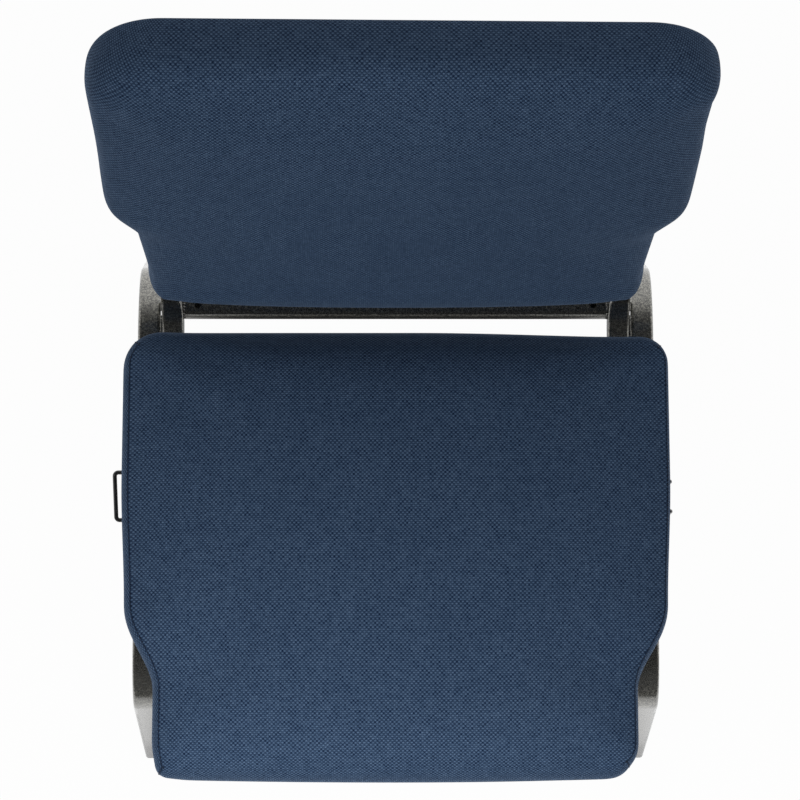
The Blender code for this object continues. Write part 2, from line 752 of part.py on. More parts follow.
def tee_nut(name, length, grow, parent, matrix):
    """A tee nut along Z, its flange on top at 0 and its barrel below."""
    bore = BOLT / 2 + GAP
    barrel = BOLT * 0.75 + grow
    flange = BOLT * 1.5 + grow
    profile = [
        (bore, grow), (flange, grow), (flange, -0.0015 - grow),
        (barrel, -0.0015 - grow), (barrel, -length - grow), (bore, -length - grow),
    ]
    if grow == 0.0:
        return turned(name, profile, True, 10, ZINC_STEEL, parent, matrix)
    profile = [(0.0, BOLT), (flange, BOLT)] + profile[2:5] + [(0.0, -length - grow)]
    part = turned(name, profile, False, 10, ZINC_STEEL, parent, matrix)
    PARTS.objects.unlink(part)
    CUTTERS.objects.link(part)
    part.hide_render = True
    part.display_type = "WIRE"
    return part


SEAT_BOLT_HEAD = 0.0035
for side, word in ((-1, "left"), (1, "right")):
    for end, y in (("front", SEAT_BOLT_FRONT_Y), ("rear", SEAT_BOLT_REAR_Y)):
        tag = end + "_" + word
        under = RAIL_TOP_HEIGHT - RAIL_TUBE - GAP
        board_top = SEAT_BOARD_Z + SEAT_BOARD
        bolt(
            "seat_bolt_" + tag, board_top - 0.002 - under, BOLT, SEAT_BOLT_HEAD, False, CHAIR,
            Matrix.Translation((side * RAIL_X, y, under)),
        )
        nut_place = Matrix.Translation((side * RAIL_X, y, board_top - GAP))
        tee_nut("seat_tee_nut_" + tag, SEAT_BOARD * 0.75, 0.0, CHAIR, nut_place)
        boolean(seat_board, tee_nut("cut_seat_tee_nut_" + tag, SEAT_BOARD * 1.5, GAP, CHAIR, nut_place))
        hole = new_cutter(
            "cut_seat_bolt_" + tag, rod_mesh("cut_seat_bolt_" + tag, BOLT / 2 + GAP, 0.2, 10),
            matrix=Matrix.Translation((side * RAIL_X, y, RAIL_Z)),
        )
        boolean(RAILS[word], hole)
        boolean(seat_dust_cover, hole)


# Back: board and rear panel clamp the uprights; foam wraps them and a fabric sleeve covers all.
BACK_HALF_FOOT = RAIL_X + RAIL_TUBE / 2 + BACK_FOOT_MARGIN
BACK_TOP = BACK_RISE + BACK_HEIGHT
BOARD_FRONT_Y = -(RAIL_TUBE / 2 + GAP + BACK_BOARD)
PANEL_REAR_Y = RAIL_TUBE / 2 + GAP + BACK_PANEL
COVER_REAR_Y = PANEL_REAR_Y + 2 * SOFT_GAP + COVER
COVER_FRONT_Y = BOARD_FRONT_Y - BACK_FOAM


def back_half_width(height):
    """Half width of the back at a height along the uprights; it steps in below."""
    share = (height - BACK_RISE - BACK_NOTCH_START) / BACK_NOTCH_LENGTH
    return BACK_HALF_FOOT + BACK_NOTCH_DEPTH * smooth(share)


BACK_COLUMNS = (-1.0, -0.86, -0.34, 0.34, 0.86, 1.0)
BACK_LEVELS = (
    BACK_RISE,
    BACK_RISE + 0.034,
    BACK_RISE + BACK_NOTCH_START + BACK_NOTCH_LENGTH * 0.15,
    BACK_RISE + BACK_NOTCH_START + BACK_NOTCH_LENGTH * 0.5,
    BACK_RISE + BACK_NOTCH_START + BACK_NOTCH_LENGTH * 0.85,
    BACK_RISE + BACK_HEIGHT * 0.70,
    BACK_TOP - BACK_CORNER,
    BACK_TOP,
)


def back_cells():
    """Cells of the back's cage across, through and up."""
    return len(BACK_COLUMNS) - 1, 3, len(BACK_LEVELS) - 1


def back_place(i, j, k):
    """Place of one corner of the back's cage: crowned front, flat rear, drawn in at the edges."""
    height = BACK_LEVELS[k]
    half = back_half_width(height)
    across = BACK_COLUMNS[i]
    side = i in (0, len(BACK_COLUMNS) - 1)
    low = k == 0
    top = k == len(BACK_LEVELS) - 1
    y = (COVER_FRONT_Y, -RAIL_TUBE * 0.80, RAIL_TUBE * 0.72, COVER_REAR_Y)[j]
    if j == 0:
        rim = side or low or top
        y += BACK_FOAM * (0.34 if rim else -0.10 if abs(across) < 0.6 else -0.02)
        if k == len(BACK_LEVELS) - 2 and not rim:
            y += BACK_FOAM * 0.14
    if j == 3 and (side or low or top):
        y -= 0.0004
    if side:
        half += (-0.006, 0.0022, 0.0015, -0.004)[j]
    if low:
        height += (0.004, -0.002, -0.002, 0.002)[j]
        half -= 0.002 if side else 0.0
    if top:
        height += (-0.016, 0.0005, 0.003, -0.002)[j]
        half -= BACK_CORNER * 0.26
    return (across * half, y, height)


def back_sleeve(centre):
    """All faces but a slot along the bottom where the uprights go in."""
    return centre.z > -0.49 or abs(centre.y) > 0.2


back_cover = new_part(
    "back_cover", cage("back_cover", back_cells(), back_place, back_sleeve), NAVY_FABRIC, BACK,
)
soften(back_cover)
skin = back_cover.modifiers.new("skin", "SOLIDIFY")
skin.thickness = COVER
skin.offset = -1.0

back_foam = new_part("back_foam", cage("back_foam", back_cells(), back_place, lambda centre: True), FOAM, BACK)
soften(back_foam)
inside = back_foam.modifiers.new("inside_cover", "DISPLACE")
inside.direction = "NORMAL"
inside.mid_level = 0.0
inside.strength = -(COVER + SOFT_GAP)


def back_outline(inset):
    """Outline of the back's boards, set in from the cover."""
    return notched_outline(
        BACK_RISE + inset, BACK_TOP - inset, lambda height: back_half_width(height) - inset, 0.008, BACK_CORNER,
    )


def upright_board(name, inset, front, rear):
    """A board that stands in the back between two depths."""
    mesh = extruded(name, back_outline(inset), rear - front)
    place = Matrix.Translation((0.0, (front + rear) / 2, 0.0)) @ Matrix.Rotation(math.pi / 2, 4, "X")
    return mesh, place


PANEL_INSET = BOARD_INSET + 0.010
board_mesh, board_place = upright_board("back_board", BOARD_INSET, BOARD_FRONT_Y, BOARD_FRONT_Y + BACK_BOARD)
back_board = new_part("back_board", board_mesh, PLYWOOD, BACK, board_place)
panel_mesh, panel_place = upright_board("back_rear_panel", PANEL_INSET, PANEL_REAR_Y - BACK_PANEL, PANEL_REAR_Y)
back_panel = new_part("back_rear_panel", panel_mesh, PLYWOOD, BACK, panel_place)
pocket_mesh, pocket_place = upright_board(
    "cut_back_pocket", BOARD_INSET - GAP, BOARD_FRONT_Y - GAP, BOARD_FRONT_Y + BACK_BOARD + GAP,
)
boolean(back_foam, new_cutter("cut_back_pocket", pocket_mesh, BACK, pocket_place))
hollow_mesh, hollow_place = upright_board("cut_back_hollow", PANEL_INSET - GAP, BOARD_FRONT_Y + BACK_BOARD, 0.1)
boolean(back_foam, new_cutter("cut_back_hollow", hollow_mesh, BACK, hollow_place))
for side, word in ((-1, "left"), (1, "right")):
    slot_height = UPRIGHT_TOP + GAP + 0.1
    slot = new_cutter(
        "cut_upright_" + word,
        box_mesh("cut_upright_" + word, (RAIL_TUBE + 2 * GAP, RAIL_TUBE + 2 * GAP, slot_height)),
        BACK,
        Matrix.Translation((side * RAIL_X, 0.0, UPRIGHT_TOP + GAP - slot_height / 2)),
    )
    boolean(back_foam, slot)
    for end, height in (("low", BACK_BOLT_LOW), ("high", BACK_BOLT_HIGH)):
        tag = end + "_" + word
        forward = Matrix.Rotation(math.pi / 2, 4, "X")
        spot = Matrix.Translation((side * RAIL_X, PANEL_REAR_Y - GAP, height)) @ forward
        bolt("back_bolt_" + tag, PANEL_REAR_Y - BOARD_FRONT_Y - 0.002, BOLT, BACK_PANEL * 0.6, True, BACK, spot)
        nut_place = Matrix.Translation((side * RAIL_X, BOARD_FRONT_Y + GAP, height)) @ forward
        tee_nut("back_tee_nut_" + tag, BACK_BOARD * 0.75, 0.0, BACK, nut_place)
        boolean(back_board, tee_nut("cut_back_tee_nut_" + tag, BACK_BOARD * 1.5, GAP, BACK, nut_place))
        hole = new_cutter(
            "cut_back_bolt_" + tag, rod_mesh("cut_back_bolt_" + tag, BOLT / 2 + GAP, 0.06, 10), BACK, spot,
        )
        boolean(RAILS[word], hole)
        boolean(back_panel, hole)
        sink = new_cutter(
            "cut_back_sink_" + tag, bpy.data.meshes.new("cut_back_sink_" + tag), BACK, spot,
        )
        shape = bmesh.new()
        bmesh.ops.create_cone(
            shape, cap_ends=True, segments=10, radius1=BOLT + 2 * GAP, radius2=BOLT / 2 + GAP,
            depth=BACK_PANEL * 0.6 + 2 * GAP, matrix=Matrix.Translation((0.0, 0.0, BACK_PANEL * 0.3)),
        )
        shape.to_mesh(sink.data)
        shape.free()
        boolean(back_panel, sink)

bpy.context.view_layer.update()
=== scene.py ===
import math

import bmesh
import bpy
import numpy as np
from mathutils import Matrix, Vector


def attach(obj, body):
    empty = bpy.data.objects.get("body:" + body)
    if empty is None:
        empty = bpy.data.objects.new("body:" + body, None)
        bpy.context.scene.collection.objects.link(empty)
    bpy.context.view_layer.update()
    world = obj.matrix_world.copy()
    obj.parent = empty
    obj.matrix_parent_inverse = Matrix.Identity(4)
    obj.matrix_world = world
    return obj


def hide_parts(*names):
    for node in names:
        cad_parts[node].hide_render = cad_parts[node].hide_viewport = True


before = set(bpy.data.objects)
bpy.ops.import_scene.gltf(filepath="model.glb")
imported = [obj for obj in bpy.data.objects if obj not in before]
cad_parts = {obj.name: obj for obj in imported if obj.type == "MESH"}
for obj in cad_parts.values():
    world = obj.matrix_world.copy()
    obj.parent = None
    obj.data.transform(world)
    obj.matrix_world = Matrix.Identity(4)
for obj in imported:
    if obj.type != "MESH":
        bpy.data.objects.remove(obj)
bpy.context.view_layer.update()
scene = bpy.context.scene


# Camera: it hangs high, just ahead of the chair's front edge, and looks down ten degrees off plumb,
# a finger's breadth to the left of the chair's middle line.
def placed(name, data):
    """A new object in the scene."""
    made = bpy.data.objects.new(name, data)
    scene.collection.objects.link(made)
    return made


camera_aim = Vector((0.0038, 0.0525, 0.450))
camera_tilt = math.radians(10.0)
camera_distance = 2.40
camera_side_step = 0.015
camera = placed("camera", bpy.data.cameras.new("camera"))
camera.location = (
    camera_aim
    + Vector((0.0, -math.sin(camera_tilt), math.cos(camera_tilt))) * camera_distance
    - Vector((camera_side_step, 0.0, 0.0))
)
camera_pan = math.atan2(camera_side_step, camera_distance)
camera.rotation_euler = (
    Matrix.Rotation(camera_tilt, 3, "X") @ Matrix.Rotation(-camera_pan, 3, "Y")
).to_euler()
camera.data.lens = 112.7
camera.data.sensor_width = 36.0
camera.data.clip_start = 0.05
scene.camera = camera
scene.view_settings.view_transform = "Standard"


# Leg arches: each is one length of 22 mm square steel tube, bent over a former at the front
# shoulder and at the rear, splayed outward and sawn level at its feet. The frame is
# powder-coated black with a silver vein, a hammered coat that hides the welds.
def put(tree, kind, inputs=None, **settings):
    """One node of a tree; each input is a value or another node's output."""
    made = tree.nodes.new(kind)
    for name, value in settings.items():
        setattr(made, name, value)
    for key, value in (inputs or {}).items():
        if isinstance(value, bpy.types.NodeSocket):
            tree.links.new(value, made.inputs[key])
        else:
            made.inputs[key].default_value = value
    return made


def calc(tree, operation, *values):
    """The result of one sum on up to three numbers."""
    inputs = dict(enumerate(values))
    return put(tree, "ShaderNodeMath", inputs, operation=operation).outputs[0]


def spread(tree, value, low, high, to_low=0.0, to_high=1.0, kind="SMOOTHSTEP"):
    """A number carried from one range to another and kept inside it."""
    inputs = {"Value": value, "From Min": low, "From Max": high, "To Min": to_low, "To Max": to_high}
    return put(tree, "ShaderNodeMapRange", inputs, interpolation_type=kind).outputs["Result"]


def blend(tree, share, first, second):
    """A colour between two others."""
    made = put(tree, "ShaderNodeMix", {0: share}, data_type="RGBA")
    for socket, colour in ((made.inputs[6], first), (made.inputs[7], second)):
        if isinstance(colour, bpy.types.NodeSocket):
            tree.links.new(colour, socket)
        else:
            socket.default_value = (*colour, 1.0)
    return made.outputs[2]


def cloudy(tree, place, scale, detail=2.0):
    """Soft noise from 0 to 1 about a half."""
    inputs = {"Vector": place, "Scale": scale, "Detail": detail}
    return put(tree, "ShaderNodeTexNoise", inputs).outputs["Fac"]


def surface(name, **sockets):
    """A new material, its tree and its shader with the given plain settings."""
    material = bpy.data.materials.new(name)
    material.use_nodes = True
    shader = material.node_tree.nodes["Principled BSDF"]
    for key, value in sockets.items():
        shader.inputs[key.replace("_", " ")].default_value = value
    return material, material.node_tree, shader


def feed(shader, **sources):
    """Leads patterns into a shader's sockets."""
    for key, source in sources.items():
        shader.id_data.links.new(source, shader.inputs[key.replace("_", " ")])


def relief(tree, shader, height, strength, distance):
    """Bumps on a shader from a height."""
    inputs = {"Height": height, "Strength": strength, "Distance": distance}
    made = put(tree, "ShaderNodeBump", inputs)
    tree.links.new(made.outputs["Normal"], shader.inputs["Normal"])


def on_piece(tree):
    """Each point's place on its piece."""
    return put(tree, "ShaderNodeTexCoord").outputs["Object"]


def wander(tree, place, scale, detail, reach):
    """Places pushed about by noise, so that a pattern isn't quite regular."""
    noise = put(tree, "ShaderNodeTexNoise", {"Vector": place, "Scale": scale, "Detail": detail})
    inputs = {0: noise.outputs["Color"], 1: reach, 2: place}
    return put(tree, "ShaderNodeVectorMath", inputs, operation="MULTIPLY_ADD").outputs[0]


def toned(tree, shader, share, colours, roughness, limits=(0.0, 1.0)):
    """Turns a pattern into a shader's colour and roughness, each from one end to the other."""
    colour = blend(tree, share, *colours)
    feed(shader, Base_Color=colour, Roughness=spread(tree, share, *limits, *roughness))


def vein_coat():
    """Hammered black powder coat: silver flakes gather in short veins between dark pools."""
    pool, flake = (0.0052, 0.0050, 0.0042), (0.40, 0.39, 0.34)
    material, tree, shader = surface(
        "vein_coat", Specular_IOR_Level=0.25, Coat_Weight=1.0, Coat_Roughness=0.13, Coat_IOR=2.0
    )
    place = on_piece(tree)
    shifted = wander(tree, place, 460.0, 1.0, (0.0019, 0.0019, 0.0019))
    cells = put(
        tree, "ShaderNodeTexVoronoi", {"Vector": shifted, "Scale": 640.0}, feature="DISTANCE_TO_EDGE"
    ).outputs["Distance"]
    vein = spread(tree, cells, 0.05, 0.26, 1.0, 0.0)
    patch = spread(tree, cloudy(tree, place, 420.0, 3.0), 0.38, 0.64)
    fleck = spread(tree, cloudy(tree, place, 1250.0, 1.0), 0.54, 0.68)
    silver = calc(tree, "MULTIPLY", vein, calc(tree, "MULTIPLY_ADD", patch, 0.8, 0.2))
    silver = calc(tree, "MAXIMUM", silver, calc(tree, "MULTIPLY", fleck, 0.9))
    toned(tree, shader, silver, (pool, flake), (0.34, 0.44))
    feed(shader, Metallic=spread(tree, silver, 0.0, 0.45, 0.0, 0.97))
    relief(tree, shader, calc(tree, "MULTIPLY_ADD", patch, 0.5, cells), 0.35, 0.00035)
    return material


def node_tree(name, *inputs):
    """An empty geometry tree with named inputs, and the sockets that bring them in."""
    tree = bpy.data.node_groups.new(name, "GeometryNodeTree")
    tree.interface.new_socket("Geometry", in_out="INPUT", socket_type="NodeSocketGeometry")
    for label, kind in inputs:
        tree.interface.new_socket(label, in_out="INPUT", socket_type="NodeSocket" + kind)
    tree.interface.new_socket("Material", in_out="INPUT", socket_type="NodeSocketMaterial")
    tree.interface.new_socket("Geometry", in_out="OUTPUT", socket_type="NodeSocketGeometry")
    return tree, tree.nodes.new("NodeGroupInput").outputs


def close_tree(tree, given, geometry):
    """Ends a tree: smooth faces, real geometry, one material."""
    even = put(tree, "GeometryNodeSetShadeSmooth", {"Geometry": geometry})
    real = put(tree, "GeometryNodeRealizeInstances", {"Geometry": even.outputs[0]})
    done = put(
        tree, "GeometryNodeSetMaterial", {"Geometry": real.outputs[0], "Material": given["Material"]}
    )
    put(tree, "NodeGroupOutput", {"Geometry": done.outputs[0]})
    return tree


def line_mesh(name, lines, bends=None):
    """Open lines through points, with a bend radius at each point where it is given."""
    mesh = bpy.data.meshes.new(name)
    points, edges = [], []
    for line in lines:
        start = len(points)
        points += [tuple(point) for point in line]
        edges += [(start + k, start + k + 1) for k in range(len(line) - 1)]
    mesh.from_pydata(points, edges, [])
    if bends is not None:
        mesh.attributes.new("bend", "FLOAT", "POINT").data.foreach_set("value", bends)
    return mesh


def tree_step(holder, tree, values):
    """Puts a tree on an object, with its inputs set."""
    step = holder.modifiers.new(tree.name, "NODES")
    step.node_group = tree
    for item in tree.interface.items_tree:
        label = item.name.replace(" ", "_")
        if item.in_out == "INPUT" and label in values:
            step[item.identifier] = values[label]


def settled(holder):
    """An object's mesh with its modifiers worked in; the object itself is taken away."""
    graph = bpy.context.evaluated_depsgraph_get()
    mesh = bpy.data.meshes.new_from_object(holder.evaluated_get(graph))
    mesh.name = holder.name
    bpy.data.objects.remove(holder, do_unlink=True)
    return mesh


def grown(name, tree, base, **values):
    """The plain mesh that a tree makes from a base mesh with the given sizes."""
    holder = placed(name, base)
    tree_step(holder, tree, values)
    return settled(holder)


def piece(name, mesh, body, slot, *nodes):
    """A finished piece that rides on a body and stands for CAD nodes."""
    made = placed(name, mesh)
    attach(made, body)
    if nodes:
        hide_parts(*nodes)
    return made


def bent_line(tree, given):
    """The base mesh's line with each corner bent to its own radius."""
    line = put(tree, "GeometryNodeMeshToCurve", {"Mesh": given["Geometry"]})
    radius = put(tree, "GeometryNodeInputNamedAttribute", {"Name": "bend"}, data_type="FLOAT")
    inputs = {"Curve": line.outputs[0], "Count": given["Bend Steps"], "Radius": radius.outputs[0]}
    return put(tree, "GeometryNodeFilletCurve", inputs, mode="POLY").outputs[0]


def swept(tree, given, line, section):
    """Ends a tree with a solid bar of one section along a line."""
    inputs = {"Curve": line, "Profile Curve": section, "Fill Caps": True}
    bar = put(tree, "GeometryNodeCurveToMesh", inputs)
    return close_tree(tree, given, bar.outputs[0])


def bent_tube_tree():
    """A square tube along a flat line whose corners are bent."""
    tree, given = node_tree(
        "bent_square_tube", ("Side", "Float"), ("Corner", "Float"), ("Bend Steps", "Int")
    )
    level = put(tree, "GeometryNodeSetCurveNormal", {"Curve": bent_line(tree, given)}, mode="Z_UP")
    width = {"Width": given["Side"], "Height": given["Side"]}
    square = put(tree, "GeometryNodeCurvePrimitiveQuadrilateral", width)
    corner = {"Curve": square.outputs[0], "Count": 6, "Radius": given["Corner"]}
    section = put(tree, "GeometryNodeFilletCurve", corner, mode="POLY")
    return swept(tree, given, level.outputs[0], section.outputs[0])


def bent_bar(name, corners, bends, side, place):
    """A coated square tube, bent at its corners and set in its place."""
    bar = grown(
        name, bent_tube, line_mesh(name + "_line", [corners], bends=bends),
        Side=side, Corner=tube_corner, Bend_Steps=bend_steps, Material=coat,
    )
    bar.transform(place @ upright)
    return bar


def weighted(made):
    """Even shading on the flats between rounded corners."""
    step = made.modifiers.new("flats", "WEIGHTED_NORMAL")
    step.weight = 80


coat, bent_tube = vein_coat(), bent_tube_tree()
upright = Matrix.Rotation(math.pi / 2, 4, "Z") @ Matrix.Rotation(math.pi / 2, 4, "X")
sides = ((-1, "left"), (1, "right"))
tube_corner, bend_steps = 0.0032, 22
leg_tube, rail_tube = 0.022, 0.021
rail_top, rails_over, weld_gap = 0.403, 0.4596, 0.0014
splay, front_lean, rear_lean = math.radians(3.25), math.radians(6.0), math.radians(17.0)
front_bend, rear_bend = 0.050, 0.070
glide_height = 0.008
front_foot_y, rear_reach = -0.2615, 0.310
rail_x = rails_over / 2 - rail_tube / 2
leg_half_tilted = leg_tube / 2 * (math.cos(splay) + math.sin(splay))
leg_x = rail_x + rail_tube / 2 + weld_gap + leg_half_tilted
arch_z = rail_top - leg_half_tilted
foot_drop = (arch_z - glide_height) / math.cos(splay)
rear_foot_y = rear_reach - leg_tube / 2 / math.cos(rear_lean)
arch_corners = [
    (front_foot_y - leg_tube * math.tan(front_lean), -foot_drop - leg_tube, 0.0),
    (front_foot_y + foot_drop * math.tan(front_lean), 0.0, 0.0),
    (rear_foot_y - foot_drop * math.tan(rear_lean), 0.0, 0.0),
    (rear_foot_y + leg_tube * math.tan(rear_lean), -foot_drop - leg_tube, 0.0),
]
arch_bends = [0.0, front_bend, rear_bend, 0.0]
for side, word in sides:
    place = Matrix.Translation((side * leg_x, 0.0, arch_z)) @ Matrix.Rotation(-side * splay, 4, "Y")
    arch = bent_bar("leg_tube_" + word, arch_corners, arch_bends, leg_tube, place)
    sawn = bmesh.new()
    sawn.from_mesh(arch)
    bmesh.ops.bisect_plane(
        sawn, geom=sawn.verts[:] + sawn.edges[:] + sawn.faces[:],
        plane_co=(0.0, 0.0, glide_height), plane_no=(0.0, 0.0, -1.0), clear_outer=True,
    )
    bmesh.ops.holes_fill(sawn, edges=[e for e in sawn.edges if e.is_boundary])
    bmesh.ops.recalc_face_normals(sawn, faces=sawn.faces)
    sawn.to_mesh(arch)
    sawn.free()
    weighted(piece("leg_tube_" + word, arch, "chair_frame", "frame_coat", "leg_arch_" + word))


# Side rails: an L of 21 mm square tube on each side, seat rail and back upright in one, welded
# along the inside of the arch. Its front end is plugged and its top is hidden in the back.
rail_z = rail_top - rail_tube / 2
rail_front_y, seat_rear_edge, back_set = -0.200, 0.1235, 0.0325
rail_corner_y = seat_rear_edge + back_set + rail_tube * 0.25
recline = math.radians(13.5)
upright_length, upright_bend = 0.448, 0.040
rail_corners = [
    (rail_front_y, 0.0, 0.0),
    (rail_corner_y, 0.0, 0.0),
    (rail_corner_y + upright_length * math.sin(recline), upright_length * math.cos(recline), 0.0),
]
rail_bends = [0.0, upright_bend, 0.0]
for side, word in sides:
    place = Matrix.Translation((side * rail_x, 0.0, rail_z))
    rail = bent_bar("side_tube_" + word, rail_corners, rail_bends, rail_tube, place)
    weighted(piece("side_tube_" + word, rail, "chair_frame", "frame_coat", "side_rail_" + word))


# Cross rails and weld spacers: straight tubes sawn square and butt-welded between the side rails,
# the rear one with two drilled holes, and thin plates that space the arches off the rails.
def round_edge_tree():
    """Joins a node's loose triangles, keeps its sharp edges and shades the round ones smooth."""
    tree, given = node_tree("round_edges", ("Sharp Angle", "Float"))
    loose = {"Geometry": given["Geometry"], "Distance": 0.00001}
    joined = put(tree, "GeometryNodeMergeByDistance", loose)
    angle = put(tree, "GeometryNodeInputMeshEdgeAngle")
    limit = {0: angle.outputs[0], 1: given["Sharp Angle"]}
    sharp = put(tree, "FunctionNodeCompare", limit, operation="GREATER_THAN")
    edges = {"Mesh": joined.outputs[0], "Selection": sharp.outputs[0]}
    split = put(tree, "GeometryNodeSplitEdges", edges)
    return close_tree(tree, given, split.outputs[0])


def clothe(material, *starts):
    """Gives the CAD nodes of these names one material and smooth round edges."""
    for name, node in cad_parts.items():
        if name.startswith(starts):
            for slot in node.material_slots:
                slot.material = material
            tree_step(node, round_edges, {"Sharp_Angle": sharp_angle, "Material": material})


round_edges, sharp_angle = round_edge_tree(), math.radians(38.0)
clothe(coat, "front_cross_rail", "rear_cross_rail", "back_lower_rail", "back_top_rail", "weld_spacer")


# Welds: short runs of overlapping beads round the ends of the cross rails and along the seam
# between each side rail and its arch, laid by hand and coated over with the rest.
def stations(tree, given):
    """Evenly spaced points along the base mesh's lines."""
    line = put(tree, "GeometryNodeMeshToCurve", {"Mesh": given["Geometry"]})
    inputs = {"Curve": line.outputs[0], "Length": given["Spacing"]}
    return put(tree, "GeometryNodeCurveToPoints", inputs, mode="LENGTH").outputs


def strung(tree, given, spots, shape, size, turn):
    """Ends a tree with one shape at each station."""
    inputs = {"Points": spots["Points"], "Instance": shape.outputs[0], "Rotation": turn, "Scale": size}
    made = put(tree, "GeometryNodeInstanceOnPoints", inputs)
    return close_tree(tree, given, made.outputs[0])


def bead_tree():
    """Flattened beads laid one over the next along lines."""
    tree, given = node_tree("weld_beads", ("Bead", "Float"), ("Spacing", "Float"), ("Seed", "Int"))
    spots = stations(tree, given)
    ball = put(tree, "GeometryNodeMeshUVSphere", {"Segments": 8, "Rings": 6, "Radius": given["Bead"]})
    limits = {0: (0.82, 0.82, 0.50), 1: (1.12, 1.12, 0.72), "Seed": given["Seed"]}
    size = put(tree, "FunctionNodeRandomValue", limits, data_type="FLOAT_VECTOR")
    return strung(tree, given, spots, ball, size.outputs[0], spots["Rotation"])


cross_set, end_gap, bead_inset = 0.0057, 0.0004, 0.0014
level_start, plumb_start = 0.004, 0.006
rear_rail_y, front_rail_y = rail_corner_y - cross_set, rail_front_y + rail_tube * 1.75
half = rail_tube / 2 - bead_inset
over, under = rail_top - 0.0026, rail_top - rail_tube + 0.002
seam_runs = (
    ((0.084, over), (0.128, over), (0.145, over - 0.0014)),
    ((0.152, over - 0.0028), (0.160, over - 0.0050)),
    ((-0.185, over), (-0.130, over)),
    ((0.086, under), (0.120, under)),
)
weld_lines = []
for side, word in sides:
    end_x = side * (rail_x - rail_tube / 2 - end_gap)
    for y in (rear_rail_y, front_rail_y):
        near_y, low_z = y - half + level_start, rail_z - half + plumb_start
        for turn in (-half, half):
            edge_y, edge_z = y + turn, rail_z + turn
            weld_lines.append([(end_x, near_y, edge_z), (end_x, y + half, edge_z)])
            weld_lines.append([(end_x, edge_y, low_z), (end_x, edge_y, rail_z + half)])
    seam_x = side * (rail_x + rail_tube / 2 + weld_gap / 2)
    weld_lines += [[(seam_x, y, z) for y, z in run] for run in seam_runs]
welds = grown(
    "weld_beads", bead_tree(), line_mesh("weld_lines", weld_lines),
    Bead=0.0021, Spacing=0.0015, Seed=4, Material=coat,
)
piece("weld_beads", welds, "chair_frame", "frame_coat")


# Glides, plugs and bumpers: moulded black plastic, pushed into the tube ends and pegged into the
# undersides of the seat rails.
def moulded_plastic():
    """Black moulded plastic with a fine grain and scuffs."""
    black, scuffed = (0.011, 0.011, 0.012), (0.032, 0.032, 0.033)
    material, tree, shader = surface("moulded_plastic", Specular_IOR_Level=0.45)
    place = on_piece(tree)
    scuff = spread(tree, cloudy(tree, place, 90.0, 5.0), 0.50, 0.72)
    toned(tree, shader, scuff, (black, scuffed), (0.42, 0.62))
    relief(tree, shader, cloudy(tree, place, 2600.0), 0.25, 0.0002)
    return material


clothe(moulded_plastic(), "glide_", "rail_plug_", "stack_bumper_")


# Ganging links: bent steel wire, 4.2 mm thick and black coated, that slides through both tubes: a
# wide loop on the left, and on the right a narrower hook that drops into the next chair's loop.
def wire_coat():
    """Thin glossy black enamel with rubbed spots."""
    black, rubbed = (0.016, 0.016, 0.016), (0.09, 0.088, 0.085)
    material, tree, shader = surface("wire_coat", Specular_IOR_Level=0.6, Coat_Weight=0.4)
    place = on_piece(tree)
    rub = spread(tree, cloudy(tree, place, 300.0, 4.0), 0.60, 0.74)
    toned(tree, shader, rub, (black, rubbed), (0.22, 0.42))
    relief(tree, shader, cloudy(tree, place, 900.0), 0.12, 0.0003)
    return material


def wire_tree():
    """A round wire along a line whose corners are bent."""
    tree, given = node_tree("bent_wire", ("Diameter", "Float"), ("Bend Steps", "Int"))
    radius = calc(tree, "MULTIPLY", given["Diameter"], 0.5)
    ring = put(tree, "GeometryNodeCurvePrimitiveCircle", {"Resolution": 16, "Radius": radius})
    return swept(tree, given, bent_line(tree, given), ring.outputs[0])


wire_thickness, wire_bend, wire_tail = 0.0042, 0.0034, 0.0073
ganging_y, ganging_z = -0.0325, rail_z - 0.0005
loop_out, loop_half, loop_slant = 0.0222, 0.0234, 0.0026
hook_out, hook_half, hook_drop = 0.0158, 0.01465, 0.024
leg_outer_x = leg_x + leg_half_tilted
wire_inner_x = rail_x - rail_tube / 2 - wire_tail
loop_x = leg_outer_x + loop_out - wire_thickness / 2
hook_x = leg_outer_x + hook_out - wire_thickness / 2
loop_line = [
    (-wire_inner_x, ganging_y - loop_half, ganging_z),
    (-loop_x + loop_slant, ganging_y - loop_half, ganging_z),
    (-loop_x, ganging_y + loop_half, ganging_z),
    (-wire_inner_x, ganging_y + loop_half, ganging_z),
]
hook_line = [
    (wire_inner_x, ganging_y - hook_half, ganging_z),
    (hook_x, ganging_y - hook_half, ganging_z),
    (hook_x, ganging_y - hook_half, ganging_z - hook_drop),
    (hook_x, ganging_y + hook_half, ganging_z - hook_drop),
    (hook_x, ganging_y + hook_half, ganging_z),
    (wire_inner_x, ganging_y + hook_half, ganging_z),
]
enamel, bent_wire = wire_coat(), wire_tree()
for link, route in (("loop", loop_line), ("hook", hook_line)):
    radii = [0.0] + [wire_bend] * (len(route) - 2) + [0.0]
    wire = grown(
        "link_" + link, bent_wire, line_mesh(link + "_line", [route], bends=radii),
        Diameter=wire_thickness, Bend_Steps=8, Material=enamel,
    )
    piece("link_" + link, wire, "ganging_" + link, "black_wire", "ganging_" + link)


# Bolts, tee nuts and push-on washers: bright zinc-plated steel from stock.
# The bolts come up through the rails into the seat board and forward into the back board.
def zinc_plate():
    """Zinc plating: a faint spangle and fine brushing."""
    bright, dull = (0.62, 0.63, 0.63), (0.44, 0.45, 0.47)
    material, tree, shader = surface("zinc_plate", Metallic=1.0)
    place = on_piece(tree)
    spangle = put(tree, "ShaderNodeTexVoronoi", {"Vector": place, "Scale": 700.0}).outputs["Distance"]
    toned(tree, shader, spangle, (bright, dull), (0.26, 0.42))
    relief(tree, shader, cloudy(tree, place, 1800.0), 0.1, 0.0002)
    return material


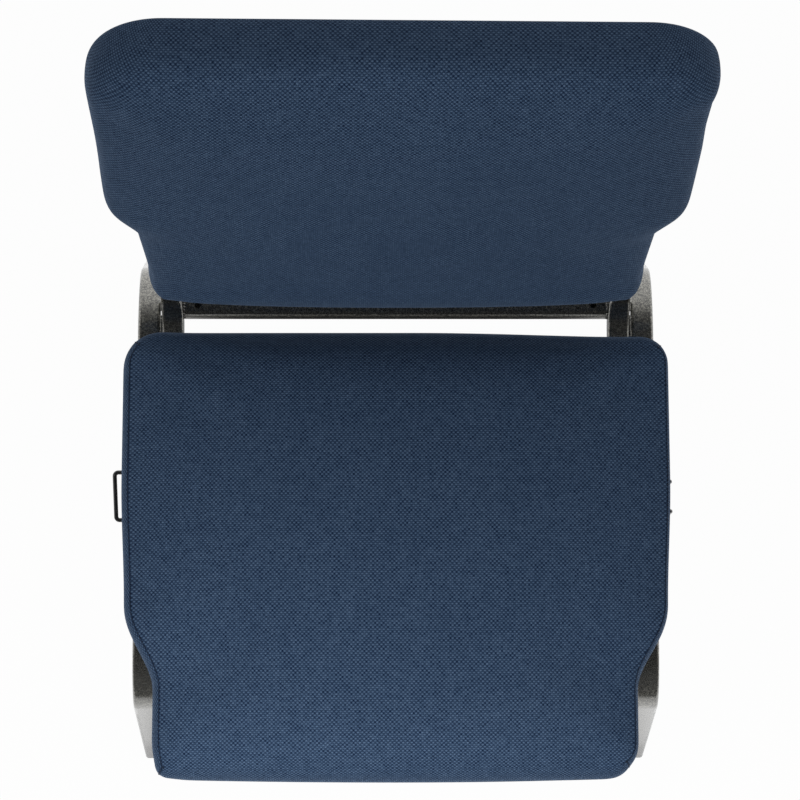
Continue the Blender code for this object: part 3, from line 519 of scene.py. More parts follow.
zinc = zinc_plate()
clothe(zinc, "seat_bolt_", "back_bolt_", "seat_tee_nut_", "back_tee_nut_")
clothe(zinc, "loop_retainer_", "hook_retainer_")


# Boards: 12 mm plywood under the seat, and 9 and 6 mm in the back, sawn to the notched outline.
# They carry the foam and are hidden once the cloth is on.
def plywood():
    """Bare birch plywood with its grain along the chair's width."""
    dark_grain, light_grain = (0.50, 0.36, 0.21), (0.66, 0.52, 0.34)
    material, tree, shader = surface("plywood", Specular_IOR_Level=0.3)
    stretched = {"Vector": on_piece(tree), "Scale": (6.0, 120.0, 90.0)}
    grain = cloudy(tree, put(tree, "ShaderNodeMapping", stretched).outputs[0], 1.0, 6.0)
    toned(tree, shader, grain, (dark_grain, light_grain), (0.62, 0.78), (0.3, 0.7))
    relief(tree, shader, grain, 0.2, 0.0004)
    return material


clothe(plywood(), "seat_board", "back_board", "back_rear_panel")


# Seat cushion: foam on the board under one navy panel that runs up the rear edge, over the crown
# and down the rounded front, with a boxing strip sewn to it along each side. The cloth is pulled
# under the board and stapled, so it bulges between the seams and the staples.
def navy_cloth():
    """Plain-woven upholstery cloth: light blue warp over dark navy weft, uneven yarn, no shine, with
    painted shade along the seams.
    """
    dark_weft, light_warp = (0.0026, 0.0088, 0.0310), (0.0590, 0.1010, 0.1740)
    material, tree, shader = surface(
        "navy_cloth", Roughness=0.90, Specular_IOR_Level=0.14, Sheen_Weight=0.40, Sheen_Roughness=0.25,
        Sheen_Tint=(0.52, 0.70, 1.0, 1.0),
    )
    flat = put(tree, "ShaderNodeUVMap", uv_map="cloth").outputs["UV"]
    per_thread = {0: flat, 1: (cloth_span / yarn_pitch,) * 3}
    threads = put(tree, "ShaderNodeVectorMath", per_thread, operation="MULTIPLY").outputs[0]
    swayed = wander(tree, threads, 0.11, 2.0, (0.7, 0.7, 0.0))
    count = put(tree, "ShaderNodeSeparateXYZ", {0: swayed}).outputs
    warp_wave = calc(tree, "SINE", calc(tree, "MULTIPLY", count[0], math.pi))
    weft_wave = calc(tree, "SINE", calc(tree, "MULTIPLY", count[1], math.pi))
    crossing = calc(tree, "MULTIPLY", warp_wave, weft_wave)
    sunk = calc(tree, "SUBTRACT", 1.0, spread(tree, crossing, -0.72, 0.28))
    patchy = spread(tree, cloudy(tree, threads, 0.22), 0.34, 0.66, 0.88, 1.0)
    numbers = put(tree, "ShaderNodeVectorMath", {0: swayed}, operation="FLOOR").outputs[0]
    chance = put(tree, "ShaderNodeTexWhiteNoise", {"Vector": numbers}, noise_dimensions="2D")
    depth = calc(tree, "MULTIPLY_ADD", chance.outputs["Value"], 0.40, 0.60)
    sunk = calc(tree, "MULTIPLY", calc(tree, "MULTIPLY", sunk, patchy), depth)
    warp_up = calc(tree, "SUBTRACT", 1.0, sunk)
    weft_groove = calc(tree, "POWER", calc(tree, "ABSOLUTE", weft_wave), 0.7)
    warp_groove = calc(tree, "POWER", calc(tree, "ABSOLUTE", warp_wave), 0.7)
    weft_tone = calc(tree, "MULTIPLY_ADD", weft_groove, 1.00, 0.24)
    tone = calc(tree, "MULTIPLY", weft_tone, calc(tree, "MULTIPLY_ADD", warp_groove, 0.50, 0.62))
    for run, cross in ((0, 1), (1, 0)):
        number = calc(tree, "MULTIPLY", calc(tree, "FLOOR", count[cross]), 3.7)
        length = calc(tree, "MULTIPLY", count[run], 0.16)
        yarn = put(tree, "ShaderNodeCombineXYZ", {0: length, 1: number, 2: 9.0 * run}).outputs[0]
        slub = spread(tree, cloudy(tree, yarn, 1.0), 0.25, 0.75, 0.85, 1.15, "LINEAR")
        tone = calc(tree, "MULTIPLY", tone, slub)
    for scale, share in ((0.34, 0.035), (0.030, 0.05)):
        cloud = cloudy(tree, swayed, scale, 3.0)
        mottle = spread(tree, cloud, 0.25, 0.75, 1.0 - share, 1.0 + share, "LINEAR")
        tone = calc(tree, "MULTIPLY", tone, mottle)
    # Painted shade: the cloth is darkened to 30% along the seams, standing in for the shade that falls in
    # the ditch between the two pieces.
    seam = put(tree, "ShaderNodeAttribute", attribute_name="seam").outputs["Fac"]
    tone = calc(tree, "MULTIPLY", tone, spread(tree, seam, 0.25, 1.0, 1.0, 0.30))
    warm, cool = calc(tree, "POWER", tone, 1.22), calc(tree, "POWER", tone, 0.80)
    tint = put(tree, "ShaderNodeCombineColor", {0: warm, 1: tone, 2: cool}).outputs[0]
    yarns = {0: 1.0, 6: blend(tree, warp_up, dark_weft, light_warp), 7: tint}
    shade = put(tree, "ShaderNodeMix", yarns, data_type="RGBA", blend_type="MULTIPLY")
    feed(shader, Base_Color=shade.outputs[2])
    relief(tree, shader, calc(tree, "POWER", calc(tree, "ABSOLUTE", crossing), 0.5), 0.45, 0.0005)
    return material


def step_up(share):
    """An S-shaped step from 0 to 1."""
    share = np.clip(share, 0.0, 1.0)
    return share * share * (3.0 - 2.0 * share)


def spaced(length, step, edge=(0.0018, 0.0045, 0.0082, 0.0128, 0.0182)):
    """Shares along a panel, close together near both edges and even between."""
    edge = np.array(edge)
    count = max(2, round((length - 2 * edge[-1]) / step))
    inner = np.linspace(edge[-1], length - edge[-1], count + 1)
    return np.concatenate(([0.0], edge[:-1], inner, length - edge[-2::-1], [length])) / length


def grid_rim(grid):
    """The points round a grid's edge in turn, each once."""
    return np.concatenate((grid[0, :-1], grid[:-1, -1], grid[-1, :0:-1], grid[:0:-1, 0]))


def grid_quads(grid, turned=False):
    """The corners of each cell of a grid; turned cells face the other way."""
    loop = [grid[:-1, :-1], grid[:-1, 1:], grid[1:, 1:], grid[1:, :-1]]
    if turned:
        loop = [loop[0]] + loop[:0:-1]
    return np.stack(loop, -1).reshape(-1, 4)


def pad_net(columns, rows, bands):
    """Corner numbers of a pad: its face grid, the rings round its edge, its base grid, and their faces.

    Each face's kind: 0 the panel, 1 its near end, 2 its sides, 3 the base, 4 its far end.
    """
    face = np.arange((columns + 1) * (rows + 1)).reshape(rows + 1, columns + 1)
    rim = grid_rim(face)
    rings = [rim] + [face.size + k * len(rim) + np.arange(len(rim)) for k in range(bands)]
    base = np.full(face.shape, -1)
    base.reshape(-1)[rim] = rings[-1]
    inner = base < 0
    base[inner] = face.size + bands * len(rim) + np.arange(inner.sum())
    quads = [grid_quads(face)]
    kinds = [np.zeros(len(quads[0]), int)]
    spot = np.arange(len(rim))
    turns = (spot < columns, spot < columns + rows, spot < 2 * columns + rows)
    for upper, lower in zip(rings, rings[1:]):
        quads.append(np.stack((upper, lower, np.roll(lower, -1), np.roll(upper, -1)), -1))
        kinds.append(np.select(turns, (1, 2, 4), 2))
    quads.append(grid_quads(base, turned=True))
    kinds.append(np.full(len(quads[0]), 3))
    return face, rings, base, inner, np.concatenate(quads), np.concatenate(kinds)


def rounded(across, along, half, length, corners):
    """Places in a panel with rounded corners, and each one's distance from the sides and both ends."""
    side = (1.0 - np.abs(across)) * half
    near, far = along * length, (1.0 - along) * length
    from_side, from_near, from_far = side.copy(), near.copy(), far.copy()
    for (left, right), end in ((corners[0], from_near), (corners[1], from_far)):
        radius = np.where(across < 0.0, left, right)
        inside = (side < radius) & (end < radius)
        radius = radius[inside]
        x, y = 1.0 - side[inside] / radius, 1.0 - end[inside] / radius
        from_side[inside] = radius * (1.0 - x * np.sqrt(1.0 - y * y / 2.0))
        end[inside] = radius * (1.0 - y * np.sqrt(1.0 - x * x / 2.0))
    run = np.where(along < 0.5, from_near, length - from_far)
    return np.sign(across) * (half - from_side), run, side, near, far


def outward(points):
    """Unit directions out of a closed flat outline."""
    along = np.roll(points, -1, 0) - np.roll(points, 1, 0)
    out = np.stack((along[:, 1], -along[:, 0]), -1)
    return out / np.linalg.norm(out, axis=1)[:, None]


def ring_drops(places, rings):
    """How far each point of the rings lies from the pad's face, measured along the cloth."""
    drop = np.zeros(len(places))
    for above, ring in zip(rings, rings[1:]):
        drop[ring] = drop[above] + np.linalg.norm(places[ring] - places[above], axis=1)
    return drop


def pad_mesh(name, places, quads, corner_flats, seams, creases):
    """A pad's mesh with its cloth laid out flat in a UV map and its seams marked."""
    mesh = bpy.data.meshes.new(name)
    mesh.from_pydata(places.tolist(), [], quads.tolist())
    mesh.uv_layers.new(name="cloth").data.foreach_set("uv", (corner_flats / cloth_span).ravel())
    # The seam mark also leads the painted shade along the seams into the cloth's shader.
    seam = np.zeros(len(places), np.float32)
    seam[seams] = 1.0
    mesh.attributes.new("seam", "FLOAT", "POINT").data.foreach_set("value", seam)
    marked = {tuple(sorted(pair)) for pair in creases}
    crease = [1.0 if tuple(sorted(edge.vertices)) in marked else 0.0 for edge in mesh.edges]
    mesh.attributes.new("crease_edge", "FLOAT", "EDGE").data.foreach_set("value", crease)
    mesh.polygons.foreach_set("use_smooth", [True] * len(mesh.polygons))
    mesh.update()
    return mesh


def puffed(mesh, held, face, face_reach, edge_reach):
    """Blows up a pad's cloth from inside; held points stay, and no point moves further than its reach."""
    moments, smoothings = 20, 10
    reach = np.full(len(mesh.vertices), edge_reach)
    reach[face.ravel()] = face_reach
    start = np.empty(len(mesh.vertices) * 3)
    mesh.vertices.foreach_get("co", start)
    blown = placed("blown", mesh.copy())
    blown.vertex_groups.new(name="held").add([int(k) for k in held], 1.0, "REPLACE")
    step = blown.modifiers.new("cloth", "CLOTH")
    step.point_cache.frame_start, step.point_cache.frame_end = 1, moments
    cloth = step.settings
    cloth.quality = 5
    cloth.mass = 0.04
    cloth.tension_stiffness = cloth.compression_stiffness = 18.0
    cloth.shear_stiffness = 9.0
    cloth.bending_stiffness = 0.8
    cloth.use_pressure = True
    cloth.uniform_pressure_force = 4.0
    cloth.vertex_group_mass = "held"
    cloth.effector_weights.gravity = 0.0
    step.collision_settings.use_collision = False
    for moment in range(1, moments + 1):
        scene.frame_set(moment)
    graph = bpy.context.evaluated_depsgraph_get()
    after = np.empty_like(start)
    blown.evaluated_get(graph).data.vertices.foreach_get("co", after)
    bpy.data.objects.remove(blown, do_unlink=True)
    scene.frame_set(1)
    move = (after - start).reshape(-1, 3)
    length = np.linalg.norm(move, axis=1)
    capped = reach * np.tanh(length / reach)
    move *= (capped / np.maximum(length, 1e-9))[:, None]
    pairs = np.array([edge.vertices[:] for edge in mesh.edges])
    neighbours = np.bincount(pairs.ravel())[:, None]
    for _ in range(smoothings):
        around = np.zeros_like(move)
        np.add.at(around, pairs[:, 0], move[pairs[:, 1]])
        np.add.at(around, pairs[:, 1], move[pairs[:, 0]])
        move = 0.5 * (move + around / neighbours)
        move[held] = 0.0
    mesh.vertices.foreach_set("co", start + move.ravel())
    mesh.update()
    return (start + move.ravel()).reshape(-1, 3)


def sewn_up(name, mesh, open_faces=()):
    """The finished pad with one round of subdivision; open faces give way to one flat closing face."""
    shape = bmesh.new()
    shape.from_mesh(mesh)
    shape.faces.ensure_lookup_table()
    bmesh.ops.delete(shape, geom=[shape.faces[k] for k in open_faces], context="FACES")
    shape.to_mesh(mesh)
    shape.free()
    holder = placed(name, mesh)
    step = holder.modifiers.new("even", "SUBSURF")
    step.levels = step.render_levels = 1
    fine = settled(holder)
    shape = bmesh.new()
    shape.from_mesh(fine)
    made = bmesh.ops.holes_fill(shape, edges=[e for e in shape.edges if e.is_boundary])
    bmesh.ops.triangulate(shape, faces=made["faces"])
    shape.to_mesh(fine)
    shape.free()
    return fine


yarn_pitch, cloth_span, net_step = 0.00200, 1.6, 0.0062
navy = navy_cloth()
seat_under, seat_seam_z = 0.4046, 0.4536
seat_front_y, seat_rear_y = -0.3096, 0.1222
seat_rear_half, seat_front_half = 0.2629, 0.2298
seam_inset, right_inset, front_set = 0.0076, 0.0042, 0.0098
seat_corners = ((0.003, 0.0185), (0.0295, 0.0225))
seat_rise, seat_crown, boxing_bulge = 0.0125, 0.0100, 0.0082
roll_start, roll_depth, roll_height, roll_drop = 0.0322, 0.042, 0.045, 0.0161
lip_z, lip_height, lip_tuck = 0.4247, 0.020, 0.006
seat_length = seat_rear_y - seam_inset - seat_front_y - front_set
seat_panel_width, under_share = 0.513, 0.92
seat_across = 2.0 * spaced(seat_panel_width, net_step) - 1.0
seat_along = spaced(seat_length, net_step)
seat_bands = np.array([0.0, 0.04, 0.10, 0.19, 0.30, 0.42, 0.54, 0.66, 0.78, 0.88, 0.96, 1.0])
seat_hems = (0.0018, 0.0070, 0.0200)


def seat_half(y):
    """Half width of the seat at its fullest; it steps in ahead of the legs and draws in at the front."""
    broad = seat_rear_half - 0.0045 * step_up((-0.02 - y) / 0.13)
    step = seat_front_half + (broad - seat_front_half) * step_up((y + 0.2225) / 0.078)
    return step - 0.0040 * step_up((-0.272 - y) / 0.034)


columns, rows = len(seat_across) - 1, len(seat_along) - 1
face, rings, base, inner, quads, kinds = pad_net(columns, rows, len(seat_bands) - 1 + len(seat_hems))
across, along = np.meshgrid(seat_across, seat_along)
panel_y = seat_front_y + front_set + along * seat_length
drawn_in = right_inset + 0.0016 * step_up((-0.16 - panel_y) / 0.05)
panel_half = seat_half(panel_y) - np.where(across < 0.0, seam_inset, drawn_in)
panel_x, run, off_side, off_front, off_rear = rounded(
    across, along, panel_half, seat_length, seat_corners
)
panel_y = seat_front_y + front_set + run
shoulder = (1.0 - np.exp(-off_side / 0.0085)) * (1.0 - np.exp(-off_rear / 0.013))
crown = (1.0 - np.abs(across) ** 2.4) * (1.0 - 0.55 * ((along - 0.52) / 0.52) ** 2)
roll = np.arcsin(np.clip((roll_start - off_front) / roll_depth, 0.0, 1.0))
front_drop = roll_height * (1.0 - np.cos(roll))
rise = shoulder * (seat_rise + seat_crown * crown) * (1.0 - front_drop / front_drop.max())
places = np.zeros((inner.sum() + rings[-1][-1] + 1, 3))
places[face.ravel()] = np.stack((panel_x, panel_y, seat_seam_z + rise), -1).reshape(-1, 3)
outline = places[rings[0]][:, :2]
out = outward(outline)
rim_index = np.arange(len(rings[0]))
from_corner = np.minimum(rim_index, np.abs(columns - rim_index))
frontness = np.where(rim_index <= columns, step_up(from_corner / 7.0), 0.0)
fullness = 1.0 - (1.0 - right_inset / seam_inset) * np.clip(out[:, 0], 0.0, 1.0) ** 2
for band, ring in zip(seat_bands[1:], rings[1:]):
    level = seat_seam_z - (seat_seam_z - seat_under) * band
    box_out = boxing_bulge * (1.0 - (2.0 * band ** 0.85 - 1.0) ** 2)
    if level > lip_z:
        turn = math.acos(1.0 - (roll_drop + seat_seam_z - level) / roll_height)
        roll_out = roll_depth * math.sin(turn) - roll_start
    else:
        roll_out = front_set - lip_tuck * ((lip_z - level) / lip_height) ** 2
    reach = frontness * roll_out + (1.0 - frontness) * box_out * fullness
    places[ring, :2] = outline + out * reach[:, None]
    places[ring, 2] = level
hem_start = places[rings[len(seat_bands) - 1]][:, :2]
for inset, ring in zip(seat_hems, rings[len(seat_bands):]):
    places[ring, :2] = hem_start - outward(hem_start) * inset
    places[ring, 2] = seat_under
centre_y = panel_y.mean()
under_x, under_y = panel_x * under_share, centre_y + (panel_y - centre_y) * under_share
places[base[inner]] = np.stack((under_x, under_y, np.full_like(under_x, seat_under)), -1)[inner]
front_bow = np.where(places[:, 0] < 0.0, 0.0023, 0.0029) * (places[:, 0] / 0.2) ** 2
front_bow *= step_up((-0.262 - places[:, 1]) / 0.035)
rear_skew = 0.0047 * step_up((places[:, 0] - 0.02) / 0.24) * step_up((places[:, 1] - 0.07) / 0.045)
places[:, 1] += front_bow - rear_skew

panel_at, boxing_at, base_at = (0.30, 0.10), 0.85, (1.0, 0.45)
middle = face[:, columns // 2]
middle_run = np.append(0.0, np.cumsum(np.linalg.norm(np.diff(places[middle], axis=0), axis=1)))
drop = ring_drops(places, rings)
rim_steps = np.linalg.norm(np.diff(places[np.append(rings[0], rings[0][0])], axis=0), axis=1)
rim_run = np.append(0.0, np.cumsum(rim_steps))
station = np.zeros(len(quads), int)
station[(kinds != 0) & (kinds != 3)] = np.tile(rim_index, len(rings) - 1)
flat_x = places[:, 0] + panel_at[0]
panel_run = np.interp(places[:, 1], places[middle, 1], middle_run)
panel_flat = np.stack((flat_x, panel_run + panel_at[1]), -1)[quads]
rear_flat = np.stack((flat_x, panel_at[1] + middle_run[-1] + drop), -1)[quads]
boxing_along = rim_run[station[:, None] + (0, 0, 1, 1)]
boxing_flat = np.stack((boxing_along, boxing_at + drop[quads]), -1)
base_flat = places[quads][:, :, :2] + base_at
corner_flats = np.stack((flat_x, panel_at[1] - drop), -1)[quads]
for kind, flat in ((0, panel_flat), (2, boxing_flat), (3, base_flat), (4, rear_flat)):
    corner_flats[kinds == kind] = flat[kinds == kind]
corners = (0, columns, columns + rows, 2 * columns + rows)
side_seams = [rings[0][corners[1]:corners[2] + 1], np.append(rings[0][corners[3]:], rings[0][0])]
seams = side_seams + [np.array([ring[corner] for ring in rings]) for corner in corners]
creases = [pair for seam in seams for pair in zip(seam.tolist(), seam.tolist()[1:])]
seam_points = np.unique(np.concatenate(seams))
seat_mesh = pad_mesh("seat_cushion", places, quads, corner_flats, seam_points, creases)
held = np.concatenate([seam_points] + rings[len(seat_bands) - 2:] + [base.ravel()])
places = puffed(seat_mesh, np.unique(held), face, 0.006, 0.0025)
seat_seam_lines = [places[seam] for seam in seams]
seat_fine = sewn_up("seat_cushion", seat_mesh, np.nonzero(kinds == 3)[0].tolist())
seat_fine.materials.append(navy)
seat_cushion = piece("seat_cushion", seat_fine, "chair_frame", "navy_fabric", "seat_cover", "seat_foam")


# Stitches: the seams are locked with dark bonded thread, one short stitch after the next in the
# ditch between the two pieces of cloth.
def sewing_thread():
    """Twisted thread, nearly black."""
    black, navy_strand = (0.004, 0.007, 0.016), (0.018, 0.030, 0.058)
    material, tree, shader = surface("sewing_thread", Roughness=0.7, Specular_IOR_Level=0.3)
    twist = spread(tree, cloudy(tree, on_piece(tree), 1900.0, 1.0), 0.35, 0.65)
    feed(shader, Base_Color=blend(tree, twist, black, navy_strand))
    relief(tree, shader, twist, 0.3, 0.0002)
    return material


def stitch_tree():
    """Short stitches laid end to end along seams."""
    tree, given = node_tree(
        "stitches", ("Stitch", "Float"), ("Thread", "Float"), ("Spacing", "Float"), ("Seed", "Int")
    )
    spots = stations(tree, given)
    bead = put(tree, "GeometryNodeMeshUVSphere", {"Segments": 6, "Rings": 5, "Radius": 0.5})
    limits = {2: 0.86, 3: 1.06, "Seed": given["Seed"]}
    pull = put(tree, "FunctionNodeRandomValue", limits, data_type="FLOAT").outputs[1]
    length = calc(tree, "MULTIPLY", given["Stitch"], pull)
    size = put(tree, "ShaderNodeCombineXYZ", {0: given["Thread"], 1: given["Thread"], 2: length})
    return strung(tree, given, spots, bead, size.outputs[0], spots["Rotation"])


def sewn_seam(name, lines, seed):
    """A row of stitches along seams."""
    row = grown(
        name, stitches, line_mesh(name + "_line", lines),
        Stitch=0.0042, Thread=0.0009, Spacing=0.0048, Seed=seed, Material=thread,
    )
    piece(name, row, "chair_frame", "navy_fabric")


thread, stitches = sewing_thread(), stitch_tree()
sewn_seam("seat_stitches", seat_seam_lines, 7)


# Dust cover: a sheet of thin black spun cloth, stretched over the seat's underside and stapled to
# the board all round. It hides the board, and sags a little between the rails.
def spun_cloth():
    """Black non-woven cloth: pressed dots in rows over a felted ground."""
    black, fibre = (0.006, 0.006, 0.006), (0.026, 0.026, 0.027)
    material, tree, shader = surface("spun_cloth", Specular_IOR_Level=0.2, Sheen_Weight=0.08)
    place = on_piece(tree)
    rows_of_dots = {"Vector": place, "Scale": 620.0, "Randomness": 0.12}
    dots = put(tree, "ShaderNodeTexVoronoi", rows_of_dots).outputs["Distance"]
    felt = cloudy(tree, place, 900.0, 4.0)
    colour = blend(tree, felt, black, fibre)
    feed(shader, Base_Color=colour, Roughness=spread(tree, dots, 0.1, 0.4, 0.60, 0.92))
    relief(tree, shader, calc(tree, "MULTIPLY_ADD", felt, 0.4, dots), 0.4, 0.0004)
    return material


dust_inset, dust_z, dust_sag = 0.022, 0.4038, 0.0025
dust_corners = ((0.010, 0.010), (0.014, 0.014))
dust_front, dust_rear = -0.288, 0.1015
dust_length = dust_rear - dust_front
across, along = np.meshgrid(np.linspace(-1.0, 1.0, 49), np.linspace(0.0, 1.0, 41))
dust_y = dust_front + along * dust_length
dust_half = seat_half(dust_y) - dust_inset
dust_x, run = rounded(across, along, dust_half, dust_length, dust_corners)[:2]
dust_y = dust_front + run
sag_across = np.clip(1.0 - (dust_x / 0.205) ** 2, 0.0, 1.0)
sag_along = np.sin(np.pi * np.clip((dust_y + 0.150) / 0.245, 0.0, 1.0)) ** 2
dust_level = dust_z - dust_sag * (sag_across * sag_along)
dust_places = np.stack((dust_x, dust_y, dust_level), -1).reshape(-1, 3)
dust_net = np.arange(dust_x.size).reshape(dust_x.shape)
dust_mesh = bpy.data.meshes.new("dust_cover")
dust_mesh.from_pydata(dust_places.tolist(), [], grid_quads(dust_net, turned=True).tolist())
dust_mesh.polygons.foreach_set("use_smooth", [True] * len(dust_mesh.polygons))
dust_mesh.materials.append(spun_cloth())
dust_cover = piece("dust_cover", dust_mesh, "chair_frame", "black_cloth", "seat_dust_cover")
thickness = dust_cover.modifiers.new("thickness", "SOLIDIFY")
thickness.thickness = 0.0004
thickness.offset = 0.0


# Staples: zinc-plated wire, shot through the dust cover's edge into the board two fingers' width
# apart. Only their crowns show, pressed into the cloth.
def staple_tree():
    """Crowns of staples set along a line, each turned a little off it."""
    tree, given = node_tree(
        "staples", ("Crown", "Float"), ("Wire", "Float"), ("Spacing", "Float"), ("Seed", "Int")
    )
    spots = stations(tree, given)
    rod = put(tree, "GeometryNodeMeshCylinder", {"Vertices": 8, "Radius": 0.5, "Depth": 1.0})
    size = put(tree, "ShaderNodeCombineXYZ", {0: given["Wire"], 1: given["Wire"], 2: given["Crown"]})
    limits = {0: (0.0, -0.16, 0.0), 1: (0.0, 0.16, 0.0), "Seed": given["Seed"]}
    askew = put(tree, "FunctionNodeRandomValue", limits, data_type="FLOAT_VECTOR").outputs[0]
    turn = {"Rotation": spots["Rotation"], "Rotate By": askew}
    turned = put(tree, "FunctionNodeRotateRotation", turn, rotation_space="LOCAL")
    return strung(tree, given, spots, rod, size.outputs[0], turned.outputs[0])


staple_inset, staple_sink, cover_half = 0.007, 0.0003, 0.20
edge_share = 1.0 - staple_inset / cover_half
staple_shift = (0.0, (1.0 - edge_share) * dust_y.mean(), -staple_sink)
rim = np.append(grid_rim(dust_net), dust_net[0, 0])
staple_line = dust_places[rim] * (edge_share, edge_share, 1.0) + staple_shift
staples = grown(
    "staples", staple_tree(), line_mesh("staple_line", [staple_line]),
    Crown=0.0105, Wire=0.0009, Spacing=0.034, Seed=2, Material=zinc,
)
piece("staples", staples, "chair_frame", "zinc_steel")


# Back cushion: foam moulded round the boards and uprights inside a navy sleeve. Its front panel is
# wrapped over the edge without a seam and sewn to a flat rear panel, a little in from the edge.
back_place = Matrix.Translation((0.0, rail_corner_y, rail_z)) @ Matrix.Rotation(-recline, 4, "X")
back_low, back_high = 0.074, 0.4948
back_inset, foot_inset = 0.0140, 0.0062
back_foot = back_low + foot_inset
back_length = back_high - back_inset - back_foot
back_corners = ((0.004, 0.004), (0.053, 0.053))
back_rise, back_crown, rear_bulge = 0.0125, 0.0075, 0.0023
foot_swell, foot_droop = 0.0085, 0.0035
foot_half, wing_half = 0.2332, 0.2640
back_panel_width = 0.505
back_across = 2.0 * spaced(back_panel_width, net_step) - 1.0
back_along = spaced(back_length, net_step)
back_bands = (
    (0.0330, 0.0000), (0.0304, 0.0044), (0.0264, 0.0080), (0.0208, 0.0109), (0.0142, 0.0129),
    (0.0074, 0.0139), (0.0004, 0.0140), (-0.0064, 0.0137), (-0.0116, 0.0129), (-0.0152, 0.0115),
    (-0.0174, 0.0096), (-0.0187, 0.0071), (-0.0193, 0.0040),
)
back_lean, back_tilt = 0.0068, 0.0140


def back_half(height, across):
    """Half width of the back at its fullest; it steps in at the foot, where the uprights go in."""
    foot = foot_half + 0.060 * (np.minimum(height, 0.195) - back_low)
    foot += 0.0028 * (1.0 - step_up((height - 0.082) / 0.032))
    left_flare = 0.0030 * step_up((height - 0.300) / 0.155)
    right_flare = 0.0062 * step_up((height - 0.424) / 0.042)
    right_flare = right_flare - 0.0020 * step_up((height - 0.330) / 0.060)
    flare = np.where(across < 0.0, left_flare, right_flare)
    wing = wing_half - 0.0021 * step_up((height - 0.25) / 0.13) + flare
    return foot + (wing - foot) * step_up((height - 0.192) / 0.054)


columns, rows = len(back_across) - 1, len(back_along) - 1
face, rings, base, inner, quads, kinds = pad_net(columns, rows, len(back_bands) - 1)
across, along = np.meshgrid(back_across, back_along)
height = back_foot + along * back_length
panel_half = back_half(height, across) - back_inset
panel_x, run, off_side, off_low, off_high = rounded(across, along, panel_half, back_length, back_corners)
height = back_foot + run
shoulder = (1.0 - np.exp(-off_side / 0.013)) * (1.0 - np.exp(-off_low / 0.007))
shoulder = shoulder * (1.0 - np.exp(-off_high / 0.016))
crown = (1.0 - np.abs(across) ** 2.2) * (1.0 - np.abs(2.0 * along - 1.0) ** 2.6)
places = np.zeros((inner.sum() + rings[-1][-1] + 1, 3))
front_depth = back_bands[0][0] + shoulder * (back_rise + back_crown * crown)
places[face.ravel()] = np.stack((panel_x, height, front_depth), -1).reshape(-1, 3)
outline = places[rings[0]][:, :2]
out = outward(outline)
thin = 1.0 - (1.0 - foot_inset / back_inset) * np.clip(-out[:, 1], 0.0, 1.0) ** 2
for (level, reach), ring in zip(back_bands[1:], rings[1:]):
    places[ring, :2] = outline + out * (reach * thin)[:, None]
    places[ring, 2] = level
rear_spread = 1.0 + back_bands[-1][1] / np.abs(panel_x).max()
rear_height = height + (height - back_foot) * back_bands[-1][1] / back_length
rear_depth = back_bands[-1][0] - shoulder * rear_bulge
places[base[inner]] = np.stack((panel_x * rear_spread, rear_height, rear_depth), -1)[inner]
above_foot = places[:, 1] - back_low
full = np.exp(-(above_foot / 0.040) ** 2) * (1.0 - 0.50 * (places[:, 0] / 0.215) ** 2)
places[:, 2] += foot_swell * full * np.clip(places[:, 2] / back_bands[0][0], 0.0, 1.0)
places[:, 1] -= foot_droop * np.exp(-(above_foot / 0.030) ** 2) * (1.0 - (places[:, 0] / 0.22) ** 2)
sleeve_at, rear_at, tilt_start = (0.36, 0.02), (1.0, 0.02), 0.20
drop = ring_drops(places, rings)
edge_flat = places[:, :2] + sleeve_at
for ring in rings[1:]:
    edge_flat[ring] = outline + out * drop[ring][:, None] + sleeve_at
rear_flat = places[:, :2] + rear_at
corner_flats = np.where((kinds == 3)[:, None, None], rear_flat[quads], edge_flat[quads])
upper_share = np.clip((places[:, 1] - tilt_start) / (back_high - tilt_start), 0.0, 1.0)
places[:, 1] -= back_tilt * places[:, 0] * upper_share
places[:, 0] += back_lean * upper_share ** 1.4
rear_seam = np.append(rings[-1], rings[-1][0])
creases = list(zip(rear_seam.tolist(), rear_seam.tolist()[1:]))
back_mesh = pad_mesh("back_cushion", places, quads, corner_flats, rings[-1], creases)
held = np.concatenate(rings + [base.ravel()])
places = puffed(back_mesh, np.unique(held), face, 0.005, 0.0022)
stand = back_place @ Matrix.Rotation(math.pi / 2, 4, "X")
back_mesh.transform(stand)
back_seam_line = [stand @ Vector(places[k]) for k in rear_seam]
back_fine = sewn_up("back_cushion", back_mesh)
back_fine.materials.append(navy)
back_cushion = piece("back_cushion", back_fine, "chair_frame", "navy_fabric", "back_cover", "back_foam")
sewn_seam("back_stitches", [back_seam_line], 8)


# Stage: a plain pale floor, a soft white surround, and two soft lamps in front of the chair.
# The camera sees floor and surround as white. The shiny coat mirrors them with painted shade: the floor's
# glow in reflections is dimmed under the chair and far in front of it. The floor keeps the real shadow.
def seen_rays(tree):
    """What the camera sees, straight or through glass, and what shiny metal mirrors."""
    ray = put(tree, "ShaderNodeLightPath").outputs
    return calc(tree, "MAXIMUM", ray["Is Camera Ray"], ray["Is Transmission Ray"]), ray["Is Glossy Ray"]


